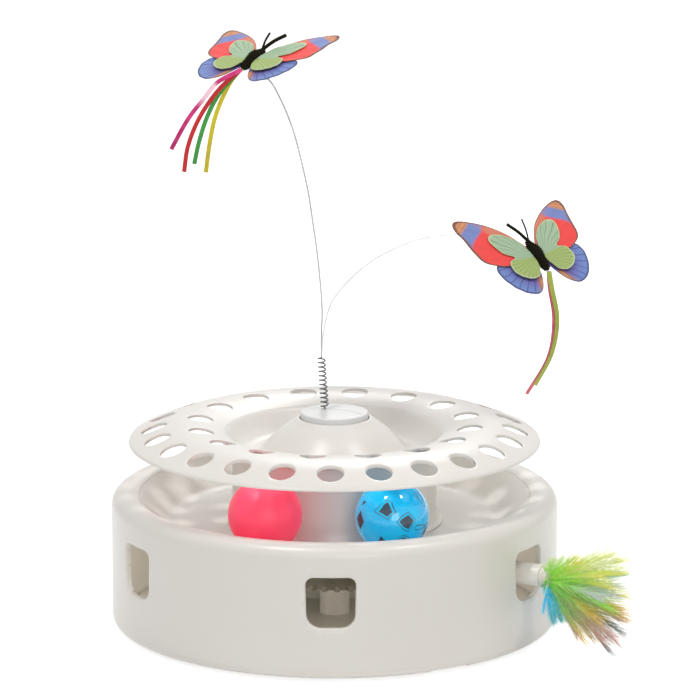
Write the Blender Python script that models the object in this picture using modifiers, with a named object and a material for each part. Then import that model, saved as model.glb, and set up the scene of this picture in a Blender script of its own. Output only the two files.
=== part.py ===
# Automatic cat toy: a round base with six windows and a ball channel, a tower that
# carries a perforated disc and a motor-driven wand spring with two butterflies, and
# a planetary crank that pushes a feather out of one window after another.
#
# Metres, +Z up. The origin is on the turning axis, at the level of the floor.
# The front faces -Y. A bearing of 0 points to the front and grows towards +X.

import random
from math import asin, atan2, ceil, cos, hypot, pi, radians, sin, sqrt, tan

import bmesh
import bpy
from mathutils import Matrix, Vector

MM = 0.001

# Shared clearances and limits
SEAT_GAP = 0.3 * MM
RUNNING_GAP = 0.1 * MM
CUT_OVERRUN = 2.0 * MM
MERGE_DISTANCE = 0.002 * MM

# Rings of the toy, from the tower outwards
TOWER_RADIUS = 55.0 * MM
BALL_RADIUS = 19.5 * MM
BALL_SIDE_GAP = 3.5 * MM
TRACK_FLAT_WIDTH = 6.0 * MM
BOWL_WIDTH = 21.3 * MM
RIM_SLOPE_WIDTH = 7.2 * MM
RIM_SHOULDER_WIDTH = 7.5 * MM

# Outer housing
HOUSING_WALL = 3.0 * MM
GROUND_CLEARANCE = 2.0 * MM
BOTTOM_FILLET_WIDTH = 4.4 * MM
BOTTOM_FILLET_HEIGHT = 5.0 * MM
BOTTOM_LIP = 2.7 * MM
RIM_RISE = 16.1 * MM
RIM_SHOULDER_DROP = 6.9 * MM
RIM_INNER_DROP = 2.1 * MM
NOTCH_BEARING = 31.0
NOTCH_WIDTH = 24.0 * MM
NOTCH_HEIGHT = 1.5 * MM

# Windows in the wall
WINDOW_COUNT = 6
WINDOW_PHASE = -0.8
WINDOW_WIDTH = 27.0 * MM
WINDOW_FOOT_WIDTH = 25.6 * MM
SILL_BELOW_ARM = 13.5 * MM
HEAD_ABOVE_ARM = 13.7 * MM
WINDOW_HEAD_CORNER = 4.5 * MM
WINDOW_FOOT_CORNER = 7.4 * MM

# Base tray and what stands on it
TRAY_THICKNESS = 3.0 * MM
PAD_RADIUS = 20.0 * MM
PAD_RISE = 0.4 * MM
SCREW_BEARINGS = (89.2, -30.8, -150.8)
SCREW_INSET = 14.5 * MM
SCREW_HEAD_RADIUS = 3.0 * MM
SCREW_HEAD_HEIGHT = 1.6 * MM
SCREW_SHANK_RADIUS = 1.3 * MM
SCREW_LENGTH = 12.0 * MM
SCREW_SEAT_WEB = 0.8 * MM
POST_RADIUS = 4.5 * MM
POST_HEIGHT = 24.0 * MM
POST_WEB = 2.4 * MM
FOOT_BEARINGS = (48.0, -52.0, 132.0, -132.0)
FOOT_INSET = 21.0 * MM
FOOT_RADIUS = 10.0 * MM
FOOT_ROUNDING = 0.7 * MM

# Ball track and balls
TRACK_HEADROOM = 5.1 * MM
TRACK_WALL = 3.0 * MM
TRACK_FILLET = 13.0 * MM
TRACK_SLOPE = 39.5
CUP_HEIGHT = 5.0 * MM
CUP_WALL = 3.9 * MM
PINK_BEARING = -27.7
BLUE_BEARING = 23.0
SHELL_WALL = 1.2 * MM
SHELL_SEAM_TILT = 35.0
BELL_RADIUS = 5.0 * MM

# Tower: column, dish, dome and collar in one moulding
TOWER_WALL = 2.0 * MM
TOWER_FOOT_FLARE = 3.6 * MM
COLUMN_HEIGHT = 36.9 * MM
DISH_DEPTH = 10.7 * MM
DISH_LIP_OVERHANG = 2.6 * MM
DISH_FLOOR_INSET = 5.5 * MM
DISH_FLOOR_WIDTH = 6.0 * MM
DISH_WALL_RUN = 3.0 * MM
DISH_WALL_RISE = 2.2 * MM
DOME_FOOT_RUN = 4.0 * MM
DOME_FOOT_RISE = 1.8 * MM
DOME_MIDDLE_RUN = 11.0 * MM
DOME_MIDDLE_DROP = 6.5 * MM
COLLAR_RISE = 8.4 * MM
COLLAR_RIM = 1.4 * MM
COLLAR_DEPTH = 7.5 * MM
LEDGE_WIDTH = 2.6 * MM
LEDGE_THICKNESS = 1.6 * MM

# Perforated disc
DISC_PLATE = 2.0 * MM
DISC_INSET = 9.5 * MM
DISC_CROWN_OFFSET = 1.0 * MM
DISC_CROWN_RISE = 5.5 * MM
DISC_CROWN_CURVE = 48.0 * MM
HOLE_RADIUS = 7.0 * MM
OUTER_HOLE_COUNT = 24
OUTER_HOLE_INSET = 13.5 * MM
OUTER_HOLE_PHASE = -1.08
INNER_HOLE_COUNT = 16
HOLE_ROW_SPACING = 24.0 * MM
INNER_HOLE_PHASE = 13.89
HOLE_BAND_MARGIN = 0.6 * MM

# Rotor
CAP_RADIUS = 18.2 * MM
CAP_STAND = 3.05 * MM
CAP_EDGE = 1.0 * MM
CAP_PLATE = 2.5 * MM
CAP_WALL = 1.8 * MM
CAP_FLOOR_GAP = 0.9 * MM
CAP_COLLAR_GAP = 0.5 * MM
CAP_HUB_WALL = 2.4 * MM
ROTOR_SHAFT_RADIUS = 2.0 * MM
ROTOR_MODULE = 1.2 * MM
ROTOR_TEETH = 20
ROTOR_PINION_TEETH = 10
ROTOR_GEAR_WIDTH = 4.0 * MM
ROTOR_MOTOR_NECK = 2.9 * MM
ROTOR_MOTOR_RADIUS = 11.0 * MM
ROTOR_MOTOR_HEIGHT = 24.0 * MM
ROTOR_MOTOR_BEARING = 180.0
GROOVE_WIDTH = 0.9 * MM
GROOVE_DEPTH = 0.35 * MM
GROOVE_RADIUS = 22.0 * MM

# Wand spring and wires
SPRING_X = -5.2 * MM
SPRING_Y = 5.0 * MM
SPRING_LEAN = -1.8 * MM
WIRE_RADIUS = 0.45 * MM
WIRE_NECK = 3.0 * MM
COIL_RADIUS = 1.85 * MM
COIL_PITCH = 2.4 * MM
COIL_TURNS = 11.5
POINTS_PER_TURN = 8
SPRING_LEG_IN_CAP = 1.4 * MM
SPRING_LEG_ABOVE = 1.0 * MM
# Each wire's way from its foot on the spring to its butterfly, as shares of that
# distance along X, Y and Z
TALL_WIRE_SHARES = (
    (0.00, 0.00, 0.07), (-0.01, 0.09, 0.17), (0.05, 0.22, 0.33), (0.12, 0.35, 0.45),
    (0.20, 0.48, 0.57), (0.35, 0.70, 0.72), (0.46, 0.78, 0.80), (0.59, 0.89, 0.87),
    (0.74, 0.98, 0.93),
)
LOW_WIRE_SHARES = (
    (0.01, 0.04, 0.24), (0.04, 0.09, 0.50), (0.10, 0.18, 0.69), (0.20, 0.29, 0.89),
    (0.31, 0.43, 1.04), (0.45, 0.59, 1.16), (0.60, 0.76, 1.21), (0.75, 0.85, 1.18),
    (0.89, 0.90, 1.07),
)

# Butterflies: half of the planform in shares of the wing length
WING_LENGTH = 40.0 * MM
WING_FILM = 0.5 * MM
WING_LAYER_STEP = 0.85 * MM
BODY_RADIUS = 3.1 * MM
BODY_LENGTH = 22.0 * MM
ANTENNA_RADIUS = 0.7 * MM
ANTENNA_LENGTH = 15.0 * MM
FOREWING_SHARES = (
    (0.00, 0.02), (0.00, 0.20), (0.22, 0.50), (0.52, 0.78), (0.82, 0.90),
    (0.90, 0.72), (0.84, 0.40), (0.79, 0.10), (0.45, -0.02),
)
HINDWING_SHARES = (
    (0.00, 0.02), (0.42, 0.06), (0.78, -0.02), (0.82, -0.18),
    (0.66, -0.42), (0.38, -0.55), (0.20, -0.46), (0.02, -0.20),
)
INNER_WING_SHARES = (
    (0.00, 0.06), (0.10, 0.26), (0.34, 0.44), (0.52, 0.34), (0.46, 0.12), (0.30, 0.03),
    (0.46, -0.06), (0.44, -0.24), (0.24, -0.32), (0.06, -0.18), (0.00, -0.06),
)
STREAMER_WIDTH = 2.8 * MM
STREAMER_FILM = 0.6 * MM

TALL_BUTTERFLY = {
    "name": "tall",
    "above_cap": (-43.4 * MM, 0.4 * MM, 190.55 * MM),
    "right_share": (0.801, -0.594, 0.076),
    "forward_share": (0.542, 0.774, 0.328),
}
LOW_BUTTERFLY = {
    "name": "low",
    "above_cap": (108.7 * MM, -0.3 * MM, 84.55 * MM),
    "right_share": (0.813, 0.582, 0.025),
    "forward_share": (-0.453, 0.604, 0.656),
}
# How far each streamer falls below the tail, front one first, and the way that it
# hangs, as shares of its fall
TALL_STREAMER_FALLS = {
    "magenta": 43.0 * MM,
    "red": 55.0 * MM,
    "green": 51.0 * MM,
    "yellow": 56.0 * MM,
}
LOW_STREAMER_FALLS = {
    "lime": 70.0 * MM,
    "pink": 71.0 * MM,
}
STREAMER_HANG_SHARES = {
    "magenta": ((-0.21, -0.01, -0.23), (-0.51, -0.02, -0.60), (-0.81, -0.02, -1.00)),
    "red": ((-0.13, -0.01, -0.16), (-0.35, -0.02, -0.49), (-0.51, -0.02, -1.00)),
    "green": ((-0.10, -0.01, -0.18), (-0.28, -0.02, -0.51), (-0.43, -0.02, -1.00)),
    "yellow": ((-0.05, -0.01, -0.16), (-0.20, -0.02, -0.48), (-0.30, -0.02, -1.00)),
    "lime": ((0.05, -0.01, -0.11), (0.11, -0.01, -0.37), (0.09, -0.01, -0.69), (-0.05, -0.01, -1.00)),
    "pink": ((0.03, -0.01, -0.11), (0.08, -0.01, -0.37), (0.04, -0.01, -0.68), (-0.11, -0.01, -1.00)),
}

# Gear teeth, in shares of their module, and the points on a flank between root and tip
GEAR_ADDENDUM_SHARE = 0.75
GEAR_DEDENDUM_SHARE = 0.95
GEAR_BACKLASH_SHARE = 0.16
PRESSURE_ANGLE = 20.0
FLANK_SHARES = (0.0, 1.0)

# Feather drive: fixed sun, idler and planet in line on a turning crank
FEATHER_WINDOW_BEARING = 59.2
DRIVE_MODULE = 1.2 * MM
SUN_TEETH = 12
IDLER_TEETH = 14
PLANET_TEETH = 10
PLANET_WIDTH = 5.0 * MM
CRANK_MODULE = 2.2 * MM
CRANK_TEETH = 32
CRANK_PINION_TEETH = 12
CRANK_THICKNESS = 3.0 * MM
POST_SHOULDER_RADIUS = 8.0 * MM
CRANK_BEARING_RADIUS = 5.0 * MM
SUN_SEAT_RADIUS = 3.2 * MM
IDLER_PIN_RADIUS = 1.6 * MM
ARM_PIN_RADIUS = 2.4 * MM
ARM_PIN_RISE = 2.5 * MM
ARM_RADIUS = 5.9 * MM
ARM_GEAR_GAP = 2.8 * MM
ARM_STICKOUT = 8.0 * MM
ARM_HUB_RADIUS = 8.5 * MM
ARM_HUB_CAP = 0.3 * MM
ARM_NECK_RADIUS = 5.0 * MM
ARM_SOCKET_RADIUS = 3.3 * MM
ARM_SOCKET_DEPTH = 8.0 * MM
PLUG_COLLAR_RADIUS = 4.6 * MM
PLUG_COLLAR = 2.0 * MM
FEATHER_MOTOR_RADIUS = 12.0 * MM
FEATHER_MOTOR_HEIGHT = 17.7 * MM
FEATHER_MOTOR_NECK = 3.0 * MM
FEATHER_MOTOR_BEARING = -110.0
MOTOR_SHAFT_RADIUS = 1.2 * MM

# Feather tuft
TUFT_ROOT_RADIUS = 5.6 * MM
TUFT_LENGTH = 38.0 * MM
TUFT_LENGTH_SPREAD_SHARE = 0.15
TUFT_DROOP = 21.0
TUFT_FAN = 43.0
TUFT_STAGE_SHARES = ((0.30, 0.80), (0.70, 0.55), (1.00, 0.22))
TUFT_SAG_SHARE = 0.10

# Batteries, door, switch and board
BATTERY_COUNT = 3
BATTERY_RADIUS = 7.1 * MM
BATTERY_LENGTH = 49.2 * MM
BATTERY_NUB_RADIUS = 2.7 * MM
BATTERY_NUB = 1.3 * MM
BATTERY_SPACING = 15.0 * MM
BAY_INSET = 70.0 * MM
BAY_WALL = 1.6 * MM
BAY_MARGIN = 0.6 * MM
DOOR_THICKNESS = 2.2 * MM
DOOR_LEDGE = 1.2 * MM
SWITCH_BEARING = 31.0
SWITCH_INSET = 24.0 * MM
SWITCH_SIZE = (8.0 * MM, 5.0 * MM, 3.4 * MM)
SWITCH_TRAVEL = 3.5 * MM
BOARD_SIZE = (36.0 * MM, 26.0 * MM, 1.6 * MM)
BOARD_INSETS = (56.0 * MM, 86.0 * MM)
CHIP_SHARES = ((0.45, 0.40, 1.6), (0.18, 0.30, 3.0), (0.12, 0.12, 2.2))

# Counts of facets
HOUSING_SEGMENTS = 48
DISC_SEGMENTS = 44
TRACK_SEGMENTS = 40
TOWER_SEGMENTS = 32
TRAY_SEGMENTS = 36
CAP_SEGMENTS = 24
ROUND_SEGMENTS = 14
SMALL_SEGMENTS = 10
HOLE_SEGMENTS = 10
BALL_SEGMENTS = 20
BALL_RINGS = 10
CURVE_STEPS = 2

# Colour, roughness and metallic value of each material
LOOKS = {
    "warm_white": ((0.73, 0.70, 0.65), 0.42, 0.0),
    "cap_white": ((0.90, 0.90, 0.89), 0.35, 0.0),
    "rubber": ((0.10, 0.10, 0.10), 0.80, 0.0),
    "steel": ((0.42, 0.42, 0.43), 0.32, 1.0),
    "wire": ((0.62, 0.62, 0.62), 0.35, 1.0),
    "gear": ((0.86, 0.86, 0.82), 0.45, 0.0),
    "motor": ((0.55, 0.56, 0.58), 0.38, 1.0),
    "board": ((0.03, 0.25, 0.10), 0.50, 0.0),
    "battery": ((0.12, 0.12, 0.14), 0.40, 0.0),
    "switch": ((0.06, 0.06, 0.06), 0.50, 0.0),
    "pink": ((0.95, 0.09, 0.19), 0.55, 0.0),
    "blue": ((0.02, 0.40, 0.88), 0.12, 0.0),
    "bell": ((0.75, 0.60, 0.25), 0.30, 1.0),
    "chenille": ((0.02, 0.016, 0.012), 0.95, 0.0),
    "forewing": ((0.85, 0.22, 0.12), 0.60, 0.0),
    "hindwing": ((0.17, 0.22, 0.68), 0.60, 0.0),
    "inner_wing": ((0.42, 0.58, 0.30), 0.60, 0.0),
    "magenta": ((0.85, 0.06, 0.42), 0.35, 0.0),
    "red": ((0.75, 0.02, 0.03), 0.35, 0.0),
    "green": ((0.02, 0.42, 0.10), 0.35, 0.0),
    "yellow": ((0.80, 0.60, 0.02), 0.35, 0.0),
    "lime": ((0.55, 0.70, 0.08), 0.35, 0.0),
    "feather": ((0.30, 0.75, 0.10), 0.85, 0.0),
    "plug": ((0.88, 0.62, 0.58), 0.50, 0.0),
}

for old in list(bpy.data.objects):
    bpy.data.objects.remove(old, do_unlink=True)

PARTS = bpy.data.collections.new("automatic_cat_toy")
CUTTERS = bpy.data.collections.new("cutters")
bpy.context.scene.collection.children.link(PARTS)
bpy.context.scene.collection.children.link(CUTTERS)


# Helpers: places, materials and objects

def bearing_point(bearing, radius, height=0.0):
    angle = radians(bearing)
    return Vector((radius * sin(angle), -radius * cos(angle), height))


def bearing_turn(bearing):
    # Turns +X to the bearing's outward direction
    return Matrix.Rotation(radians(bearing) - pi / 2, 4, "Z")


def material(look):
    found = bpy.data.materials.get(look)
    if found:
        return found
    colour, roughness, metallic = LOOKS[look]
    made = bpy.data.materials.new(look)
    made.use_nodes = True
    shader = made.node_tree.nodes["Principled BSDF"]
    shader.inputs["Base Color"].default_value = (*colour, 1.0)
    shader.inputs["Roughness"].default_value = roughness
    shader.inputs["Metallic"].default_value = metallic
    return made


def add_part(name, mesh, look, parent=None):
    part = bpy.data.objects.new(name, mesh)
    PARTS.objects.link(part)
    mesh.materials.clear()
    mesh.materials.append(material(look))
    part.parent = parent
    return part


def add_cutter(name, mesh):
    cutter = bpy.data.objects.new(name, mesh)
    CUTTERS.objects.link(cutter)
    cutter.hide_render = True
    cutter.display_type = "WIRE"
    return cutter


def boolean(part, tool, operation):
    step = part.modifiers.new(tool.name, "BOOLEAN")
    step.operation = operation
    step.solver = "EXACT"
    step.object = tool


def axis_empty(name, matrix, parent=None):
    empty = bpy.data.objects.new(name, None)
    empty.empty_display_size = BALL_RADIUS
    PARTS.objects.link(empty)
    empty.parent = parent
    empty.matrix_local = matrix
    bpy.context.view_layer.update()
    return empty


def finish_mesh(mesh, bm, sharp_angle=35.0):
    bmesh.ops.recalc_face_normals(bm, faces=bm.faces)
    bm.to_mesh(mesh)
    bm.free()
    mesh.shade_smooth()
    mesh.set_sharp_from_angle(angle=radians(sharp_angle))
    return mesh


# Helpers: shapes

def arc(centre, radii, start, end, steps):
    points = []
    for step in range(steps + 1):
        angle = radians(start + (end - start) * step / steps)
        points.append((centre[0] + radii[0] * cos(angle), centre[1] + radii[1] * sin(angle)))
    return points


def turned_mesh(name, profile, segments):
    # The profile lists (radius, height) down the outer side. One that does not
    # start and end on the axis is closed to a ring.
    mesh = bpy.data.meshes.new(name)
    bm = bmesh.new()
    verts = [bm.verts.new((radius, 0, height)) for radius, height in profile]
    for first, second in zip(verts, verts[1:]):
        bm.edges.new((first, second))
    if profile[0][0] > 0:
        bm.edges.new((verts[-1], verts[0]))
    bm.to_mesh(mesh)
    bm.free()
    guide = add_cutter(name + "_profile", mesh)
    turn = guide.modifiers.new("turn", "SCREW")
    turn.axis = "Z"
    turn.steps = segments
    turn.render_steps = segments
    turn.use_merge_vertices = True
    turn.merge_threshold = MERGE_DISTANCE
    bpy.context.view_layer.update()
    evaluated = guide.evaluated_get(bpy.context.evaluated_depsgraph_get())
    result = bpy.data.meshes.new_from_object(evaluated)
    result.name = name
    bpy.data.objects.remove(guide)
    result.shade_smooth()
    result.set_sharp_from_angle(angle=radians(35.0))
    return result


def curve_mesh(curve):
    # Turns a curve into a mesh whose caps are welded to its sides
    guide = add_cutter(curve.name + "_curve", curve)
    bpy.context.view_layer.update()
    evaluated = guide.evaluated_get(bpy.context.evaluated_depsgraph_get())
    mesh = bpy.data.meshes.new_from_object(evaluated)
    bpy.data.objects.remove(guide)
    bm = bmesh.new()
    bm.from_mesh(mesh)
    bmesh.ops.remove_doubles(bm, verts=bm.verts, dist=MERGE_DISTANCE)
    return finish_mesh(mesh, bm)


def flat_mesh(name, outlines, thickness):
    # Fills closed outlines in the XY plane and gives them a thickness
    curve = bpy.data.curves.new(name, "CURVE")
    curve.dimensions = "2D"
    curve.fill_mode = "BOTH"
    curve.extrude = thickness / 2
    curve.resolution_u = 1
    for outline in outlines:
        spline = curve.splines.new("POLY")
        spline.points.add(len(outline) - 1)
        spline.use_cyclic_u = True
        for point, (x, y) in zip(spline.points, outline):
            point.co = (x, y, 0, 1)
    return curve_mesh(curve)


def tube_mesh(name, route, radius, bevel_resolution=1):
    curve = bpy.data.curves.new(name, "CURVE")
    curve.dimensions = "3D"
    curve.bevel_depth = radius
    curve.bevel_resolution = bevel_resolution
    curve.use_fill_caps = True
    curve.resolution_u = 1
    spline = curve.splines.new("POLY")
    spline.points.add(len(route) - 1)
    for point, place in zip(spline.points, route):
        point.co = (*place, 1)
    return curve_mesh(curve)


def smooth_route(points, steps):
    # Catmull-Rom curve through 3D points
    places = [Vector(point) for point in points]
    padded = [2 * places[0] - places[1]] + places + [2 * places[-1] - places[-2]]
    route = []
    for index in range(1, len(padded) - 2):
        before, start, end, after = padded[index - 1:index + 3]
        for step in range(steps):
            t = step / steps
            route.append(catmull_rom(before, start, end, after, t))
    route.append(places[-1])
    return route


def catmull_rom(before, start, end, after, t):
    return 0.5 * (2 * start + (end - before) * t
                  + (2 * before - 5 * start + 4 * end - after) * t ** 2
                  + (3 * start - before - 3 * end + after) * t ** 3)


def smooth_outline(shares, length, steps):
    # Closed Catmull-Rom outline through corner points given in shares
    places = [Vector(share) * length for share in shares]
    count = len(places)
    outline = []
    for index in range(count):
        around = [places[(index + offset) % count] for offset in (-1, 0, 1, 2)]
        for step in range(steps):
            x, y = catmull_rom(*around, step / steps)
            outline.append((max(x, 0.0), y))
    return outline


def box_matrix(centre, size):
    return Matrix.Translation(centre) @ Matrix.Diagonal((*size, 1))


def add_box(bm, centre, size, turn=None):
    matrix = box_matrix(centre, size)
    bmesh.ops.create_cube(bm, size=1, matrix=turn @ matrix if turn else matrix)


def add_rod(bm, centre, radius, height, segments=ROUND_SEGMENTS, turn=None):
    matrix = Matrix.Translation(centre)
    bmesh.ops.create_cone(bm, cap_ends=True, segments=segments, radius1=radius, radius2=radius,
                          depth=height, matrix=turn @ matrix if turn else matrix)


def rod_mesh(name, radius, bottom, top, segments=ROUND_SEGMENTS, place=(0, 0)):
    mesh = bpy.data.meshes.new(name)
    bm = bmesh.new()
    add_rod(bm, (*place, (bottom + top) / 2), radius, top - bottom, segments)
    return finish_mesh(mesh, bm)


def box_mesh(name, centre, size):
    mesh = bpy.data.meshes.new(name)
    bm = bmesh.new()
    add_box(bm, centre, size)
    return finish_mesh(mesh, bm)


def involute(angle):
    return tan(angle) - angle


def gear_outline(teeth, module, tooth_at=0.0):
    # Involute teeth, each flank a straight line from root to tip, just inside the
    # true curve. One tooth is centred on tooth_at, in radians from +X.
    pitch_radius = teeth * module / 2
    base_radius = pitch_radius * cos(radians(PRESSURE_ANGLE))
    root_radius = pitch_radius - GEAR_DEDENDUM_SHARE * module
    tip_radius = pitch_radius + GEAR_ADDENDUM_SHARE * module
    half_at_pitch = pi / (2 * teeth) - GEAR_BACKLASH_SHARE * module / (2 * pitch_radius)
    flank = []
    for share in FLANK_SHARES:
        radius = root_radius + (tip_radius - root_radius) * share
        pressure = 0.0
        if radius > base_radius:
            pressure = atan2(sqrt(radius ** 2 - base_radius ** 2), base_radius)
        half = half_at_pitch + involute(radians(PRESSURE_ANGLE)) - involute(pressure)
        flank.append((radius, half))
    outline = []
    for tooth in range(teeth):
        middle = tooth_at + 2 * pi * tooth / teeth
        sides = [(radius, middle - half) for radius, half in flank]
        sides += [(radius, middle + half) for radius, half in reversed(flank)]
        outline += [(radius * cos(angle), radius * sin(angle)) for radius, angle in sides]
    return outline


def corner_radius(radius, segments):
    # Corner radius of a faceted bore whose flats lie at the radius
    return radius / cos(pi / segments)


def bore_outline(radius, segments=ROUND_SEGMENTS):
    corner = corner_radius(radius, segments)
    angles = [2 * pi * step / segments for step in range(segments)]
    return [(corner * cos(angle), corner * sin(angle)) for angle in angles]


def gear_part(name, teeth, module, bottom, width, bore, tooth_at, parent):
    outlines = [gear_outline(teeth, module, tooth_at), bore_outline(bore)]
    mesh = flat_mesh(name, outlines, width)
    mesh.transform(Matrix.Translation((0, 0, bottom + width / 2)))
    return add_part(name, mesh, "gear", parent)


# Radii that several pieces share, from the tower outwards

CHANNEL_RADIUS = TOWER_RADIUS + BALL_SIDE_GAP + BALL_RADIUS
TRACK_FLAT_RADIUS = CHANNEL_RADIUS + TRACK_FLAT_WIDTH
RIM_INNER_RADIUS = TRACK_FLAT_RADIUS + BOWL_WIDTH
RIM_CREST_RADIUS = RIM_INNER_RADIUS + RIM_SLOPE_WIDTH
BASE_RADIUS = RIM_CREST_RADIUS + RIM_SHOULDER_WIDTH
TRACK_RADIUS = RIM_INNER_RADIUS - SEAT_GAP
HOUSING_FOOT_RADIUS = BASE_RADIUS - BOTTOM_FILLET_WIDTH
HOUSING_LIP_RADIUS = HOUSING_FOOT_RADIUS - BOTTOM_LIP
TRAY_RADIUS = HOUSING_LIP_RADIUS - SEAT_GAP
SCREW_CIRCLE_RADIUS = BASE_RADIUS - SCREW_INSET
FOOT_CIRCLE_RADIUS = BASE_RADIUS - FOOT_INSET
SWITCH_CIRCLE_RADIUS = BASE_RADIUS - SWITCH_INSET
BAY_CENTRE_Y = BASE_RADIUS - BAY_INSET
BOARD_PLACE = (BASE_RADIUS - BOARD_INSETS[0], BOARD_INSETS[1] - BASE_RADIUS)
DISH_FLOOR_OUTER = TOWER_RADIUS - DISH_FLOOR_INSET
DISH_FLOOR_INNER = DISH_FLOOR_OUTER - DISH_FLOOR_WIDTH
DISH_WALL_FOOT = DISH_FLOOR_OUTER + DISH_WALL_RUN
DISH_LIP_RADIUS = TOWER_RADIUS + DISH_LIP_OVERHANG
DOME_FOOT_RADIUS = DISH_FLOOR_INNER - DOME_FOOT_RUN
DOME_MIDDLE_RADIUS = DOME_FOOT_RADIUS - DOME_MIDDLE_RUN
COLLAR_BORE = CAP_RADIUS + CAP_COLLAR_GAP
SHAFT_BORE = ROTOR_SHAFT_RADIUS + RUNNING_GAP
DISC_RADIUS = BASE_RADIUS - DISC_INSET
DISC_CROWN_RADIUS = CHANNEL_RADIUS + DISC_CROWN_OFFSET
OUTER_HOLE_CIRCLE = DISC_RADIUS - OUTER_HOLE_INSET
INNER_HOLE_CIRCLE = OUTER_HOLE_CIRCLE - HOLE_ROW_SPACING
DISC_BRIM_START = OUTER_HOLE_CIRCLE
IDLER_RADIUS = DRIVE_MODULE * (SUN_TEETH + IDLER_TEETH) / 2
CRANK_RADIUS = DRIVE_MODULE * (SUN_TEETH + 2 * IDLER_TEETH + PLANET_TEETH) / 2
CRANK_PINION_DISTANCE = CRANK_MODULE * (CRANK_TEETH + CRANK_PINION_TEETH) / 2
ROTOR_PINION_DISTANCE = ROTOR_MODULE * (ROTOR_TEETH + ROTOR_PINION_TEETH) / 2
ARM_LENGTH = BASE_RADIUS + ARM_STICKOUT - CRANK_RADIUS

# Levels that several pieces share, from the floor upwards

TRAY_BOTTOM = GROUND_CLEARANCE
TRAY_TOP = TRAY_BOTTOM + TRAY_THICKNESS
FEATHER_MOTOR_TOP = TRAY_TOP + SEAT_GAP + FEATHER_MOTOR_HEIGHT
CRANK_BOTTOM = FEATHER_MOTOR_TOP + FEATHER_MOTOR_NECK
CRANK_TOP = CRANK_BOTTOM + CRANK_THICKNESS
DRIVE_GEAR_BOTTOM = CRANK_TOP + SEAT_GAP
DRIVE_GEAR_TOP = DRIVE_GEAR_BOTTOM + PLANET_WIDTH
ARM_HEIGHT = DRIVE_GEAR_TOP + ARM_GEAR_GAP + ARM_RADIUS
ARM_PIN_TOP = ARM_HEIGHT + ARM_PIN_RISE
ARM_HUB_TOP = ARM_HEIGHT + ARM_RADIUS + ARM_HUB_CAP
WINDOW_SILL = ARM_HEIGHT - SILL_BELOW_ARM
WINDOW_HEAD = ARM_HEIGHT + HEAD_ABOVE_ARM
TRACK_UNDERSIDE = ARM_HUB_TOP + TRACK_HEADROOM
CHANNEL_FLOOR = TRACK_UNDERSIDE + TRACK_WALL
BALL_HEIGHT = CHANNEL_FLOOR + SEAT_GAP + BALL_RADIUS
RIM_HEIGHT = CHANNEL_FLOOR + RIM_RISE
RIM_INNER_HEIGHT = RIM_HEIGHT - RIM_INNER_DROP
SHOULDER_HEIGHT = RIM_HEIGHT - RIM_SHOULDER_DROP
TOWER_FOOT = CHANNEL_FLOOR + SEAT_GAP
DISH_FLOOR_HEIGHT = CHANNEL_FLOOR + COLUMN_HEIGHT
DISH_LIP_HEIGHT = DISH_FLOOR_HEIGHT + DISH_DEPTH
DISC_CROWN_HEIGHT = DISH_LIP_HEIGHT + DISC_CROWN_RISE
COLLAR_HEIGHT = DISH_LIP_HEIGHT + COLLAR_RISE
COLLAR_FLOOR_HEIGHT = COLLAR_HEIGHT - COLLAR_DEPTH
DOME_MIDDLE_HEIGHT = COLLAR_HEIGHT - DOME_MIDDLE_DROP
CAP_TOP = COLLAR_HEIGHT + CAP_STAND
COIL_TOP = CAP_TOP + SPRING_LEG_ABOVE + COIL_TURNS * COIL_PITCH
ROTOR_MOTOR_TOP = CHANNEL_FLOOR + SEAT_GAP + ROTOR_MOTOR_HEIGHT
ROTOR_GEAR_BOTTOM = ROTOR_MOTOR_TOP + ROTOR_MOTOR_NECK


# Base

def window_outline():
    # Half of the window's outline at +X, then its mirror image
    half_head = WINDOW_WIDTH / 2
    half_foot = WINDOW_FOOT_WIDTH / 2
    foot = arc((half_foot - WINDOW_FOOT_CORNER, WINDOW_SILL + WINDOW_FOOT_CORNER),
               (WINDOW_FOOT_CORNER, WINDOW_FOOT_CORNER), -90, 0, 3)
    head = arc((half_head - WINDOW_HEAD_CORNER, WINDOW_HEAD - WINDOW_HEAD_CORNER),
               (WINDOW_HEAD_CORNER, WINDOW_HEAD_CORNER), 0, 90, 3)
    right = foot + head
    left = [(-x, z) for x, z in reversed(right)]
    return right + left


def window_cutter():
    depth = HOUSING_WALL + 2 * CUT_OVERRUN
    one = flat_mesh("window", [window_outline()], depth)
    middle = BASE_RADIUS - HOUSING_WALL / 2
    stand = Matrix.Rotation(pi / 2, 4, "Z") @ Matrix.Rotation(pi / 2, 4, "X")
    bm = bmesh.new()
    for index in range(WINDOW_COUNT):
        copy = one.copy()
        turn = bearing_turn(WINDOW_PHASE + index * 360 / WINDOW_COUNT)
        copy.transform(turn @ Matrix.Translation((middle, 0, 0)) @ stand)
        bm.from_mesh(copy)
        bpy.data.meshes.remove(copy)
    return add_cutter("window_cutter", finish_mesh(one, bm))


def screw_posts():
    # A round post for each screw, tied to the wall by a web
    bottom = TRAY_TOP + SEAT_GAP
    posts = rods_cutter("screw_posts", SCREW_BEARINGS, SCREW_CIRCLE_RADIUS, POST_RADIUS, bottom,
                        bottom + POST_HEIGHT)
    mesh = bpy.data.meshes.new("screw_webs")
    bm = bmesh.new()
    reach = BASE_RADIUS - HOUSING_WALL / 2 - SCREW_CIRCLE_RADIUS
    height = POST_HEIGHT - 2 * POST_WEB
    middle = bottom + POST_HEIGHT / 2 + POST_WEB / 2
    for bearing in SCREW_BEARINGS:
        add_box(bm, (SCREW_CIRCLE_RADIUS + reach / 2, 0, middle), (reach, POST_WEB, height),
                bearing_turn(bearing))
    return posts, add_cutter("screw_webs", finish_mesh(mesh, bm))


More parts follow.
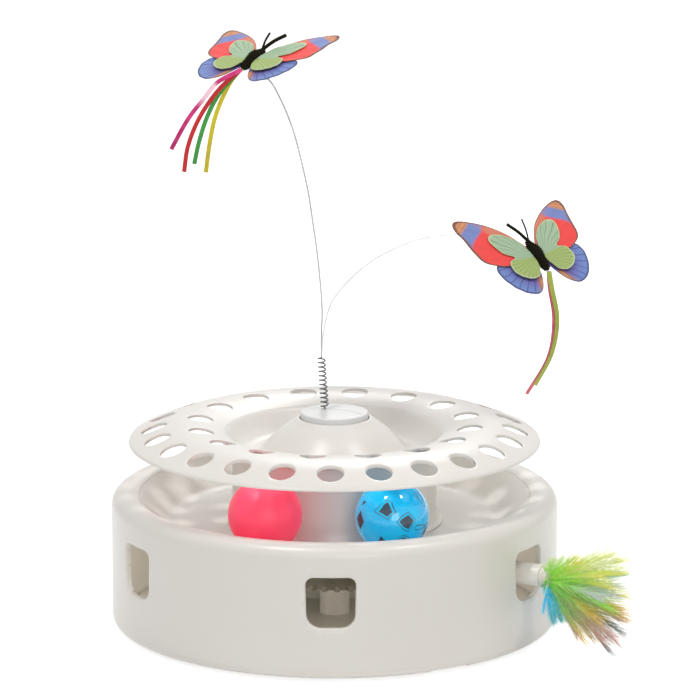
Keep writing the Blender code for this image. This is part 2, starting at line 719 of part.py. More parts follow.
def rods_cutter(name, bearings, circle, radius, bottom, top, segments=SMALL_SEGMENTS):
    mesh = bpy.data.meshes.new(name)
    bm = bmesh.new()
    for bearing in bearings:
        add_rod(bm, bearing_point(bearing, circle, (bottom + top) / 2), radius, top - bottom, segments)
    return add_cutter(name, finish_mesh(mesh, bm))


def outer_housing():
    shoulder = arc((RIM_CREST_RADIUS, SHOULDER_HEIGHT),
                   (BASE_RADIUS - RIM_CREST_RADIUS, RIM_HEIGHT - SHOULDER_HEIGHT), 90, 0, 3)
    foot = arc((HOUSING_FOOT_RADIUS, GROUND_CLEARANCE + BOTTOM_FILLET_HEIGHT),
               (BOTTOM_FILLET_WIDTH, BOTTOM_FILLET_HEIGHT), 0, -90, 3)
    inner_radius = BASE_RADIUS - HOUSING_WALL
    inner_shoulder = arc((RIM_CREST_RADIUS, SHOULDER_HEIGHT - HOUSING_WALL / 2),
                         (inner_radius - RIM_CREST_RADIUS,
                          RIM_HEIGHT - SHOULDER_HEIGHT - HOUSING_WALL / 2), 0, 90, 2)
    crest_middle = ((RIM_CREST_RADIUS + RIM_INNER_RADIUS) / 2, RIM_HEIGHT - RIM_INNER_DROP / 4)
    profile = shoulder + foot
    profile += [(HOUSING_LIP_RADIUS, GROUND_CLEARANCE)]
    profile += [(inner_radius, GROUND_CLEARANCE + BOTTOM_FILLET_HEIGHT)]
    profile += inner_shoulder
    profile += [(RIM_INNER_RADIUS, RIM_INNER_HEIGHT - HOUSING_WALL)]
    profile += [(RIM_INNER_RADIUS, RIM_INNER_HEIGHT), crest_middle]
    mesh = turned_mesh("outer_housing", profile, HOUSING_SEGMENTS)
    housing = add_part("outer_housing", mesh, "warm_white")
    for tool in screw_posts():
        boolean(housing, tool, "UNION")
    bore_top = TRAY_TOP + SCREW_LENGTH
    boolean(housing, rods_cutter("post_bores", SCREW_BEARINGS, SCREW_CIRCLE_RADIUS,
                                 SCREW_SHANK_RADIUS + SEAT_GAP, TRAY_TOP - CUT_OVERRUN, bore_top),
            "DIFFERENCE")
    boolean(housing, window_cutter(), "DIFFERENCE")
    notch = bpy.data.meshes.new("notch")
    bm = bmesh.new()
    add_box(bm, (HOUSING_FOOT_RADIUS + CUT_OVERRUN, 0, GROUND_CLEARANCE),
            (2 * (BOTTOM_LIP + 2 * CUT_OVERRUN), NOTCH_WIDTH, 2 * NOTCH_HEIGHT), bearing_turn(NOTCH_BEARING))
    boolean(housing, add_cutter("notch_cutter", finish_mesh(notch, bm)), "DIFFERENCE")


def bay_sizes():
    width = BATTERY_LENGTH + BATTERY_NUB + 2 * BAY_MARGIN
    depth = (BATTERY_COUNT - 1) * BATTERY_SPACING + 2 * BATTERY_RADIUS + 2 * BAY_MARGIN
    return width, depth


def battery_height():
    return TRAY_BOTTOM + DOOR_THICKNESS + SEAT_GAP + BATTERY_RADIUS


def base_tray():
    # The plate, the stepped post that carries the crank and the sun gear, and a round
    # pad in the middle of the underside
    sun_top = DRIVE_GEAR_TOP + SEAT_GAP
    profile = [
        (0, sun_top),
        (SUN_SEAT_RADIUS, sun_top),
        (SUN_SEAT_RADIUS, CRANK_TOP + SEAT_GAP / 2),
        (CRANK_BEARING_RADIUS, CRANK_TOP + SEAT_GAP / 2),
        (CRANK_BEARING_RADIUS, CRANK_BOTTOM - SEAT_GAP),
        (POST_SHOULDER_RADIUS, CRANK_BOTTOM - SEAT_GAP),
        (POST_SHOULDER_RADIUS, TRAY_TOP),
        (TRAY_RADIUS, TRAY_TOP),
        (TRAY_RADIUS, TRAY_BOTTOM),
        (PAD_RADIUS, TRAY_BOTTOM),
        (PAD_RADIUS, TRAY_BOTTOM - PAD_RISE),
        (0, TRAY_BOTTOM - PAD_RISE),
    ]
    tray = add_part("base_tray", turned_mesh("base_tray", profile, TRAY_SEGMENTS), "warm_white")
    width, depth = bay_sizes()
    roof = battery_height() + BATTERY_RADIUS + SEAT_GAP
    plate_middle = (TRAY_BOTTOM + TRAY_TOP) / 2
    shell = box_mesh("bay_shell", (0, BAY_CENTRE_Y, (plate_middle + roof + BAY_WALL) / 2),
                     (width + 2 * BAY_WALL, depth + 2 * BAY_WALL, roof + BAY_WALL - plate_middle))
    boolean(tray, add_cutter("bay_shell", shell), "UNION")
    hollow = box_mesh("bay_hollow", (0, BAY_CENTRE_Y, (TRAY_BOTTOM - CUT_OVERRUN + roof) / 2),
                      (width, depth, roof - TRAY_BOTTOM + CUT_OVERRUN))
    boolean(tray, add_cutter("bay_hollow", hollow), "DIFFERENCE")
    head_top = TRAY_BOTTOM + TRAY_THICKNESS - SCREW_SEAT_WEB
    recesses = rods_cutter("screw_head_recess", SCREW_BEARINGS, SCREW_CIRCLE_RADIUS,
                           SCREW_HEAD_RADIUS + SEAT_GAP, TRAY_BOTTOM - CUT_OVERRUN, head_top)
    boolean(tray, recesses, "DIFFERENCE")
    holes = rods_cutter("screw_holes", SCREW_BEARINGS, SCREW_CIRCLE_RADIUS,
                        SCREW_SHANK_RADIUS + SEAT_GAP, TRAY_BOTTOM, TRAY_TOP + CUT_OVERRUN)
    boolean(tray, holes, "DIFFERENCE")
    slot = bpy.data.meshes.new("switch_slot")
    bm = bmesh.new()
    add_box(bm, (SWITCH_CIRCLE_RADIUS, SWITCH_TRAVEL / 2, plate_middle),
            (SWITCH_SIZE[1] + 2 * SEAT_GAP, SWITCH_SIZE[0] + SWITCH_TRAVEL + 2 * SEAT_GAP,
             TRAY_THICKNESS + 2 * CUT_OVERRUN), bearing_turn(SWITCH_BEARING))
    boolean(tray, add_cutter("switch_slot", finish_mesh(slot, bm)), "DIFFERENCE")


def battery_door():
    width, depth = bay_sizes()
    size = (width - 2 * SEAT_GAP, depth - 2 * SEAT_GAP, DOOR_THICKNESS)
    hinge = axis_empty("battery_door_axis", Matrix.Translation((0, BAY_CENTRE_Y - size[1] / 2, TRAY_BOTTOM)))
    mesh = box_mesh("battery_door", (0, size[1] / 2, DOOR_THICKNESS / 2), size)
    add_part("battery_door", mesh, "warm_white", hinge)


def batteries():
    for index in range(BATTERY_COUNT):
        offset = (index - (BATTERY_COUNT - 1) / 2) * BATTERY_SPACING
        profile = [
            (0, BATTERY_LENGTH + BATTERY_NUB),
            (BATTERY_NUB_RADIUS, BATTERY_LENGTH + BATTERY_NUB),
            (BATTERY_NUB_RADIUS, BATTERY_LENGTH),
            (BATTERY_RADIUS, BATTERY_LENGTH),
            (BATTERY_RADIUS, 0),
            (0, 0),
        ]
        name = "battery_%d" % (index + 1)
        mesh = turned_mesh(name, profile, ROUND_SEGMENTS)
        facing = 1 if index % 2 == 0 else -1
        lie = Matrix.Rotation(facing * pi / 2, 4, "Y")
        start = -facing * (BATTERY_LENGTH + BATTERY_NUB) / 2
        part = add_part(name, mesh, "battery")
        part.matrix_world = Matrix.Translation((start, BAY_CENTRE_Y + offset, battery_height())) @ lie


def power_switch():
    mesh = bpy.data.meshes.new("power_switch")
    bm = bmesh.new()
    along = bearing_turn(SWITCH_BEARING)
    length, depth, height = SWITCH_SIZE
    middle = TRAY_BOTTOM + SEAT_GAP + height / 2
    add_box(bm, (SWITCH_CIRCLE_RADIUS, 0, middle), (depth, length, height), along)
    knob = add_part("power_switch", finish_mesh(mesh, bm), "switch")
    flange = bpy.data.meshes.new("switch_flange")
    bm = bmesh.new()
    top = TRAY_TOP + SEAT_GAP
    add_box(bm, (SWITCH_CIRCLE_RADIUS, 0, top + TRAY_THICKNESS / 4 - SEAT_GAP / 2),
            (2 * depth, length + SWITCH_TRAVEL, TRAY_THICKNESS / 2 - SEAT_GAP), along)
    boolean(knob, add_cutter("switch_flange", finish_mesh(flange, bm)), "UNION")


def circuit_board():
    length, depth, thickness = BOARD_SIZE
    bottom = TRAY_TOP + SEAT_GAP
    middle = bottom + thickness / 2
    mesh = box_mesh("circuit_board", (*BOARD_PLACE, middle), BOARD_SIZE)
    board = add_part("circuit_board", mesh, "board")
    corner_x = BOARD_PLACE[0] - length / 2
    for index, (length_share, depth_share, height_share) in enumerate(CHIP_SHARES):
        centre_x = corner_x + length * (index + 0.75) / len(CHIP_SHARES)
        height = thickness * height_share
        size = (length * length_share / 2, depth * depth_share, height)
        chip = box_mesh("chip_%d" % index, (centre_x, BOARD_PLACE[1], middle + height / 2), size)
        boolean(board, add_cutter("chip_%d" % index, chip), "UNION")


def rubber_feet():
    profile = [
        (0, TRAY_BOTTOM - SEAT_GAP),
        (FOOT_RADIUS, TRAY_BOTTOM - SEAT_GAP),
        (FOOT_RADIUS, FOOT_ROUNDING),
        (FOOT_RADIUS - FOOT_ROUNDING, 0),
        (0, 0),
    ]
    mesh = turned_mesh("rubber_foot", profile, ROUND_SEGMENTS)
    for index, bearing in enumerate(FOOT_BEARINGS):
        foot = add_part("rubber_foot_%d" % (index + 1), mesh, "rubber")
        foot.location = bearing_point(bearing, FOOT_CIRCLE_RADIUS)


def housing_screws():
    head_top = TRAY_TOP - SCREW_SEAT_WEB - SEAT_GAP
    head_bottom = head_top - SCREW_HEAD_HEIGHT
    profile = [
        (0, TRAY_TOP + SCREW_LENGTH - SEAT_GAP),
        (SCREW_SHANK_RADIUS, TRAY_TOP + SCREW_LENGTH - SEAT_GAP),
        (SCREW_SHANK_RADIUS, head_top),
        (SCREW_HEAD_RADIUS, head_top),
        (SCREW_HEAD_RADIUS, head_bottom),
        (0, head_bottom),
    ]
    mesh = turned_mesh("housing_screw", profile, SMALL_SEGMENTS)
    for index, bearing in enumerate(SCREW_BEARINGS):
        screw = add_part("housing_screw_%d" % (index + 1), mesh, "steel")
        screw.location = bearing_point(bearing, SCREW_CIRCLE_RADIUS)


# Ball track and balls

def ball_track():
    slope = radians(TRACK_SLOPE)
    fillet = arc((TRACK_FLAT_RADIUS, CHANNEL_FLOOR + TRACK_FILLET), (TRACK_FILLET, TRACK_FILLET),
                 -90, TRACK_SLOPE - 90, 2)
    end_radius, end_height = fillet[-1]
    edge_height = end_height + (TRACK_RADIUS - end_radius) * tan(slope)
    normal = (TRACK_WALL * sin(slope), TRACK_WALL * cos(slope))
    cup_radius = SHAFT_BORE + CUP_WALL
    profile = [
        (0, CHANNEL_FLOOR),
        (SHAFT_BORE, CHANNEL_FLOOR),
        (SHAFT_BORE, CHANNEL_FLOOR + CUP_HEIGHT),
        (cup_radius, CHANNEL_FLOOR + CUP_HEIGHT),
        (cup_radius, CHANNEL_FLOOR),
    ]
    profile += fillet
    profile += [
        (TRACK_RADIUS, edge_height),
        (TRACK_RADIUS, edge_height - TRACK_WALL),
        (end_radius + normal[0], end_height - normal[1]),
        (TRACK_FLAT_RADIUS, TRACK_UNDERSIDE),
        (0, TRACK_UNDERSIDE),
    ]
    add_part("ball_track", turned_mesh("ball_track", profile, TRACK_SEGMENTS), "warm_white")


def pink_ball():
    mesh = bpy.data.meshes.new("pink_ball")
    bm = bmesh.new()
    centre = bearing_point(PINK_BEARING, CHANNEL_RADIUS, BALL_HEIGHT)
    bmesh.ops.create_uvsphere(bm, u_segments=BALL_SEGMENTS, v_segments=BALL_RINGS, radius=BALL_RADIUS,
                              matrix=Matrix.Translation(centre))
    axis = axis_empty("pink_ball_axis", Matrix.Identity(4))
    add_part("pink_ball", finish_mesh(mesh, bm, 60.0), "pink", axis)


def blue_ball():
    centre = bearing_point(BLUE_BEARING, CHANNEL_RADIUS, BALL_HEIGHT)
    axis = axis_empty("blue_ball_axis", Matrix.Identity(4))
    inner = BALL_RADIUS - SHELL_WALL
    lift = SEAT_GAP / 2
    outer_start = asin(lift / BALL_RADIUS) * 180 / pi
    inner_start = asin(lift / inner) * 180 / pi
    rings = BALL_RINGS // 2
    outside = arc((0, 0), (BALL_RADIUS, BALL_RADIUS), 90, outer_start, rings)
    inside = arc((0, 0), (inner, inner), inner_start, 90, rings)
    profile = [(0, BALL_RADIUS)] + outside[1:] + inside[:-1] + [(0, inner)]
    tilt = Matrix.Rotation(radians(SHELL_SEAM_TILT), 4, "Y")
    for name, flip in (("blue_ball_shell_top", 0.0), ("blue_ball_shell_bottom", pi)):
        mesh = turned_mesh(name, profile, BALL_SEGMENTS)
        mesh.transform(Matrix.Translation(centre) @ tilt @ Matrix.Rotation(flip, 4, "X"))
        add_part(name, mesh, "blue", axis)
    bell = bpy.data.meshes.new("ball_bell")
    bm = bmesh.new()
    drop = inner - BELL_RADIUS - SEAT_GAP
    bmesh.ops.create_uvsphere(bm, u_segments=SMALL_SEGMENTS, v_segments=SMALL_SEGMENTS // 2,
                              radius=BELL_RADIUS, matrix=Matrix.Translation(centre - Vector((0, 0, drop))))
    add_part("ball_bell", finish_mesh(bell, bm, 60.0), "bell", axis)


# Tower and perforated disc

def tower():
    wall_slope = atan2(DISH_LIP_HEIGHT - DISH_FLOOR_HEIGHT - DISH_WALL_RISE,
                       DISH_LIP_RADIUS - DISH_WALL_FOOT)
    lip_outer = DISH_LIP_RADIUS + COLLAR_RIM
    ledge_top = disc_underside(lip_outer + SEAT_GAP) - SEAT_GAP
    inner_radius = TOWER_RADIUS - TOWER_WALL
    neck_height = DISH_FLOOR_HEIGHT + DISH_WALL_RISE + (inner_radius - DISH_WALL_FOOT) * tan(wall_slope)
    profile = [
        (SHAFT_BORE, COLLAR_FLOOR_HEIGHT),
        (COLLAR_BORE, COLLAR_FLOOR_HEIGHT),
        (COLLAR_BORE, COLLAR_HEIGHT),
        (COLLAR_BORE + COLLAR_RIM, COLLAR_HEIGHT - COLLAR_RIM / 4),
        (DOME_MIDDLE_RADIUS, DOME_MIDDLE_HEIGHT),
        (DOME_FOOT_RADIUS - 2 * TOWER_WALL, (DOME_MIDDLE_HEIGHT + DISH_FLOOR_HEIGHT) / 2 + TOWER_WALL / 4),
        (DOME_FOOT_RADIUS, DISH_FLOOR_HEIGHT + DOME_FOOT_RISE),
        (DISH_FLOOR_INNER, DISH_FLOOR_HEIGHT),
        (DISH_FLOOR_OUTER, DISH_FLOOR_HEIGHT),
        (DISH_WALL_FOOT, DISH_FLOOR_HEIGHT + DISH_WALL_RISE),
        (DISH_LIP_RADIUS, DISH_LIP_HEIGHT),
        (lip_outer, DISH_LIP_HEIGHT),
        (lip_outer, ledge_top),
        (lip_outer + LEDGE_WIDTH, ledge_top),
        (lip_outer + LEDGE_WIDTH, ledge_top - LEDGE_THICKNESS),
        (lip_outer, ledge_top - LEDGE_THICKNESS - LEDGE_WIDTH),
        (TOWER_RADIUS, neck_height),
        (TOWER_RADIUS, TOWER_FOOT + 2 * TOWER_FOOT_FLARE),
        (TOWER_RADIUS + TOWER_FOOT_FLARE, TOWER_FOOT),
        (inner_radius, TOWER_FOOT),
        (inner_radius, neck_height - TOWER_WALL / cos(wall_slope)),
        (DISH_FLOOR_OUTER, DISH_FLOOR_HEIGHT - TOWER_WALL),
        (DISH_FLOOR_INNER, DISH_FLOOR_HEIGHT - TOWER_WALL),
        (DOME_FOOT_RADIUS - TOWER_WALL, DISH_FLOOR_HEIGHT + DOME_FOOT_RISE - TOWER_WALL / 2),
        (DOME_MIDDLE_RADIUS - TOWER_WALL / 2, DOME_MIDDLE_HEIGHT - TOWER_WALL),
        (COLLAR_BORE + TOWER_WALL, COLLAR_FLOOR_HEIGHT + TOWER_WALL / 2),
        (COLLAR_BORE, COLLAR_FLOOR_HEIGHT - TOWER_WALL),
        (SHAFT_BORE, COLLAR_FLOOR_HEIGHT - TOWER_WALL),
    ]
    add_part("tower", turned_mesh("tower", profile, TOWER_SEGMENTS), "warm_white")


def disc_top(radius):
    # A circular crown, running out straight in the brim
    reach = min(radius, DISC_BRIM_START) - DISC_CROWN_RADIUS
    fall = DISC_CROWN_CURVE - sqrt(DISC_CROWN_CURVE ** 2 - reach ** 2)
    slope = reach / sqrt(DISC_CROWN_CURVE ** 2 - reach ** 2)
    return DISC_CROWN_HEIGHT - fall - slope * max(radius - DISC_BRIM_START, 0)


def disc_underside(radius):
    step = HOLE_BAND_MARGIN
    slope = (disc_top(radius + step) - disc_top(radius)) / step
    return disc_top(radius) - DISC_PLATE * sqrt(1 + slope ** 2)


def disc_profile():
    # Rings lie just outside the two bands of holes, so that each hole meets few facets
    margin = HOLE_RADIUS + HOLE_BAND_MARGIN
    rings = [
        DISH_LIP_RADIUS + COLLAR_RIM + SEAT_GAP,
        INNER_HOLE_CIRCLE - margin,
        INNER_HOLE_CIRCLE + margin,
        OUTER_HOLE_CIRCLE - margin,
        OUTER_HOLE_CIRCLE + margin,
        DISC_RADIUS,
    ]
    top = [(radius, disc_top(radius)) for radius in rings]
    under = [(radius, disc_underside(radius)) for radius in reversed(rings)]
    return top + under


def perforated_disc():
    mesh = turned_mesh("perforated_disc", disc_profile(), DISC_SEGMENTS)
    disc = add_part("perforated_disc", mesh, "warm_white")
    bottom = disc_underside(DISC_RADIUS) - CUT_OVERRUN
    ceiling = DISC_CROWN_HEIGHT + CUT_OVERRUN
    outer = [OUTER_HOLE_PHASE + index * 360 / OUTER_HOLE_COUNT for index in range(OUTER_HOLE_COUNT)]
    inner = [INNER_HOLE_PHASE + index * 360 / INNER_HOLE_COUNT for index in range(INNER_HOLE_COUNT)]
    boolean(disc, rods_cutter("outer_holes", outer, OUTER_HOLE_CIRCLE, HOLE_RADIUS, bottom, ceiling,
                              HOLE_SEGMENTS), "DIFFERENCE")
    boolean(disc, rods_cutter("inner_holes", inner, INNER_HOLE_CIRCLE, HOLE_RADIUS, bottom, ceiling,
                              HOLE_SEGMENTS), "DIFFERENCE")


# Rotor drive in the tower

def rotor_cap(axis):
    hub_bore = ROTOR_SHAFT_RADIUS + SEAT_GAP
    skirt_bottom = COLLAR_FLOOR_HEIGHT + CAP_FLOOR_GAP
    plate_bottom = CAP_TOP - CAP_PLATE
    profile = [
        (0, CAP_TOP),
        (CAP_RADIUS - CAP_EDGE, CAP_TOP),
        (CAP_RADIUS, CAP_TOP - CAP_EDGE),
        (CAP_RADIUS, skirt_bottom),
        (CAP_RADIUS - CAP_WALL, skirt_bottom),
        (CAP_RADIUS - CAP_WALL, plate_bottom),
        (hub_bore + CAP_HUB_WALL, plate_bottom),
        (hub_bore + CAP_HUB_WALL, skirt_bottom),
        (hub_bore, skirt_bottom),
        (hub_bore, plate_bottom),
        (0, plate_bottom),
    ]
    cap = add_part("rotor_cap", turned_mesh("rotor_cap", profile, CAP_SEGMENTS), "cap_white", axis)
    leg = spring_leg_place()
    socket = rod_mesh("spring_socket", WIRE_RADIUS + SEAT_GAP, CAP_TOP - SPRING_LEG_IN_CAP - SEAT_GAP,
                      CAP_TOP + CUT_OVERRUN, SMALL_SEGMENTS, leg)
    boolean(cap, add_cutter("spring_socket", socket), "DIFFERENCE")
    boolean(cap, add_cutter("cap_groove", groove_mesh(leg)), "DIFFERENCE")


def groove_mesh(leg):
    # A shallow groove that swings from the spring's foot to the cap's right edge
    centre = Vector((leg[0], leg[1] - GROOVE_RADIUS - 2 * GROOVE_WIDTH))
    route = []
    for x, y in arc(centre, (GROOVE_RADIUS, GROOVE_RADIUS), 84, 22, 7):
        if hypot(x, y) < CAP_RADIUS - CAP_EDGE - GROOVE_WIDTH:
            route.append((x, y, CAP_TOP + GROOVE_WIDTH / 2 - GROOVE_DEPTH))
    return tube_mesh("cap_groove", route, GROOVE_WIDTH / 2)


def rotor_drive():
    axis = axis_empty("rotor_axis", Matrix.Identity(4))
    rotor_cap(axis)
    shaft_bottom = CHANNEL_FLOOR + SEAT_GAP
    shaft_top = CAP_TOP - CAP_PLATE - SEAT_GAP
    shaft = rod_mesh("rotor_shaft", ROTOR_SHAFT_RADIUS, shaft_bottom, shaft_top)
    add_part("rotor_shaft", shaft, "steel", axis)
    toward = radians(ROTOR_MOTOR_BEARING) - pi / 2
    gear_part("rotor_gear", ROTOR_TEETH, ROTOR_MODULE, ROTOR_GEAR_BOTTOM, ROTOR_GEAR_WIDTH,
              ROTOR_SHAFT_RADIUS + SEAT_GAP, toward, axis)
    place = bearing_point(ROTOR_MOTOR_BEARING, ROTOR_PINION_DISTANCE)
    motor_and_pinion("rotor", place, ROTOR_MOTOR_RADIUS, CHANNEL_FLOOR + SEAT_GAP, ROTOR_MOTOR_TOP,
                     ROTOR_PINION_TEETH, ROTOR_MODULE, ROTOR_GEAR_BOTTOM, ROTOR_GEAR_WIDTH, toward + pi)
    return axis


def motor_and_pinion(name, place, radius, bottom, top, teeth, module, pinion_bottom, width, facing):
    # The pinion shows a gap of its teeth towards the gear that it drives
    motor = rod_mesh(name + "_motor", radius, bottom, top, 2 * SMALL_SEGMENTS, place[:2])
    add_part(name + "_motor", motor, "motor")
    axis = axis_empty(name + "_pinion_axis", Matrix.Translation((place[0], place[1], 0)))
    outline = gear_outline(teeth, module, facing + pi / teeth)
    mesh = flat_mesh(name + "_pinion", [outline], width)
    mesh.transform(Matrix.Translation((0, 0, pinion_bottom + width / 2)))
    pinion = add_part(name + "_pinion", mesh, "gear", axis)
    stub = rod_mesh(name + "_stub", MOTOR_SHAFT_RADIUS, top + SEAT_GAP, pinion_bottom + width / 2,
                    SMALL_SEGMENTS)
    tool = add_cutter(name + "_stub", stub)
    tool.location = (place[0], place[1], 0)
    boolean(pinion, tool, "UNION")


# Wands

def spring_leg_place():
    return (SPRING_X, SPRING_Y + COIL_RADIUS)


def spring_route():
    # A straight leg in the cap, the curls, and a straight end on top. Each height
    # leans along X with the coil.
    foot = CAP_TOP + SPRING_LEG_ABOVE
    tall = COIL_TURNS * COIL_PITCH
    start = Vector((*spring_leg_place(), CAP_TOP - SPRING_LEG_IN_CAP))
    route = [start, Vector((start.x, start.y, foot - COIL_PITCH / 4))]
    steps = ceil(COIL_TURNS * POINTS_PER_TURN)
    for step in range(steps + 1):
        share = step / steps
        angle = pi / 2 + 2 * pi * COIL_TURNS * share
        centre_x = SPRING_X + SPRING_LEAN * share
        route.append(Vector((centre_x + COIL_RADIUS * cos(angle), SPRING_Y + COIL_RADIUS * sin(angle),
                             foot + tall * share)))
    route.append(route[-1] + Vector((0, 0, 2 * WIRE_RADIUS)))
    return route


def least_gap(route, radius, skip):
    # Distance between stretches of the tube that are not neighbours, on fine points
    points = []
    for first, second in zip(route, route[1:]):
        points += [first.lerp(second, step / 4) for step in range(4)]
    least = None
    for index, point in enumerate(points):
        for other in points[index + skip:]:
            distance = (point - other).length
            if least is None or distance < least:
                least = distance
    return least - 2 * radius


def spring(rotor_axis):
    route = spring_route()
    gap = least_gap(route, WIRE_RADIUS, 3 * POINTS_PER_TURN)
    print("spring: least gap between curls %.2f mm" % (gap / MM))
    foot = Matrix.Translation((SPRING_X, SPRING_Y, CAP_TOP))
    axis = axis_empty("spring_axis", foot, rotor_axis)
    mesh = tube_mesh("spring_coil", route, WIRE_RADIUS)
    mesh.transform(foot.inverted())
    add_part("spring_coil", mesh, "steel", axis)
    return axis, route[-1]


def butterfly_centre(butterfly):
    return Vector((0, 0, CAP_TOP)) + Vector(butterfly["above_cap"])


def butterfly_frame(butterfly):
    right = Vector(butterfly["right_share"]).normalized()
    forward = Vector(butterfly["forward_share"])
    forward = (forward - right * forward.dot(right)).normalized()
    up = right.cross(forward)
    frame = Matrix((right, forward, up)).transposed().to_4x4()
    return Matrix.Translation(butterfly_centre(butterfly)) @ frame


def wand(butterfly, foot, wire_shares, spring_axis, streamer_falls):
    name = butterfly["name"]
    frame = butterfly_frame(butterfly)
    end = frame @ Vector((0, 0, -BODY_RADIUS - SEAT_GAP))
    neck = frame @ Vector((0, 0, -BODY_RADIUS - SEAT_GAP - WIRE_NECK))
    way = butterfly_centre(butterfly) - foot
    wire = [foot + Vector((0, 0, 2 * WIRE_RADIUS))]
    wire += [foot + way * Vector(shares) for shares in wire_shares] + [neck]
    smooth = smooth_route(wire, CURVE_STEPS) + [end]
    pivot = Matrix.Translation((SPRING_X + SPRING_LEAN, SPRING_Y, COIL_TOP))
    spring_foot = Matrix.Translation((SPRING_X, SPRING_Y, CAP_TOP))
    axis = axis_empty(name + "_wand_axis", spring_foot.inverted() @ pivot, spring_axis)
    mesh = tube_mesh(name + "_wand_wire", [foot] + smooth, WIRE_RADIUS)
    mesh.transform(pivot.inverted())
    add_part(name + "_wand_wire", mesh, "wire", axis)
    perch = axis_empty(name + "_butterfly_axis", pivot.inverted() @ frame, axis)
    butterfly_body(name, perch)
    for side_name, side in (("left", -1), ("right", 1)):
        hinge = axis_empty(name + "_" + side_name + "_wing_axis",
                           Matrix.Translation((side * (BODY_RADIUS + SEAT_GAP), 0, 0)), perch)
        wing_side(name + "_" + side_name, side, hinge)
    for index, (colour, fall) in enumerate(streamer_falls.items()):
        layer = index + 1 - len(streamer_falls)
        streamer(name + "_" + colour + "_streamer", colour, layer, fall, frame, perch)


def butterfly_body(name, perch):
    # A fluffy stem: an egg-shaped trunk with two antennae that spread forwards
    mesh = bpy.data.meshes.new(name + "_butterfly_body")
    bm = bmesh.new()
    bmesh.ops.create_uvsphere(bm, u_segments=SMALL_SEGMENTS, v_segments=SMALL_SEGMENTS - 2, radius=1,
                              matrix=Matrix.Rotation(-pi / 2, 4, "X"))
    bmesh.ops.scale(bm, vec=(BODY_RADIUS, BODY_LENGTH / 2, BODY_RADIUS), verts=bm.verts)
    body = add_part(name + "_butterfly_body", finish_mesh(mesh, bm, 60.0), "chenille", perch)
    for side in (-1, 1):
        start = Vector((side * ANTENNA_RADIUS, BODY_LENGTH / 2 - 2 * ANTENNA_RADIUS, ANTENNA_RADIUS))
        tip = start + Vector((side * ANTENNA_LENGTH * 0.42, ANTENNA_LENGTH * 0.85, ANTENNA_LENGTH * 0.30))
        bend = start.lerp(tip, 0.5) + Vector((0, 0, ANTENNA_RADIUS))
        antenna = tube_mesh(name + "_antenna", smooth_route((start, bend, tip), CURVE_STEPS), ANTENNA_RADIUS)
        tool = add_cutter(name + "_antenna_%d" % side, antenna)
        tool.parent = perch
        boolean(body, tool, "UNION")


def wing_side(name, side, hinge):
    # Fore wing over hind wing, with the small green wing on top of both
    layers = (
        ("_forewing", FOREWING_SHARES, "forewing", 0),
        ("_hindwing", HINDWING_SHARES, "hindwing", -1),
        ("_inner_wing", INNER_WING_SHARES, "inner_wing", 1),
    )
    for ending, shares, look, layer in layers:
        outline = [(side * x, y) for x, y in smooth_outline(shares, WING_LENGTH, CURVE_STEPS)]
        mesh = flat_mesh(name + ending, [outline], WING_FILM)
        mesh.transform(Matrix.Translation((0, 0, layer * WING_LAYER_STEP)))
        add_part(name + ending, mesh, look, hinge)


def streamer(name, look, layer, fall, frame, perch):
    # A narrow film strip that hangs from the tail, in its own layer of the stack
    tail = frame @ Vector((0, -BODY_LENGTH / 2 - 3 * SEAT_GAP, 0))
    tail.y += layer * (STREAMER_FILM + SEAT_GAP)
    places = [tail] + [tail + Vector(shares) * fall for shares in STREAMER_HANG_SHARES[look]]
    route = smooth_route(places, CURVE_STEPS + 1)
    mesh = bpy.data.meshes.new(name)
    bm = bmesh.new()
    rows = []
    for index, place in enumerate(route):
        ahead = route[min(index + 1, len(route) - 1)] - route[max(index - 1, 0)]
        wide = Vector((0, 1, 0)).cross(ahead).normalized() * STREAMER_WIDTH / 2
        thick = wide.cross(ahead).normalized() * STREAMER_FILM / 2
        corners = [place + wide + thick, place - wide + thick, place - wide - thick, place + wide - thick]
        rows.append([bm.verts.new(frame.inverted() @ corner) for corner in corners])
    for row, following in zip(rows, rows[1:]):
        for corner in range(4):
            turn = (corner + 1) % 4
            bm.faces.new((row[corner], row[turn], following[turn], following[corner]))
    bm.faces.new(rows[0])
    bm.faces.new(rows[-1])
    add_part(name, finish_mesh(mesh, bm), look, perch)


def wands(rotor_axis):
    spring_axis, top = spring(rotor_axis)
    tall_foot = top + Vector((0, 0, SEAT_GAP))
    low_foot = Vector((SPRING_X + SPRING_LEAN, SPRING_Y + COIL_RADIUS,
                       COIL_TOP - COIL_PITCH / 2 + WIRE_RADIUS + SEAT_GAP))
    wand(TALL_BUTTERFLY, tall_foot, TALL_WIRE_SHARES, spring_axis, TALL_STREAMER_FALLS)
    wand(LOW_BUTTERFLY, low_foot, LOW_WIRE_SHARES, spring_axis, LOW_STREAMER_FALLS)


# Feather drive

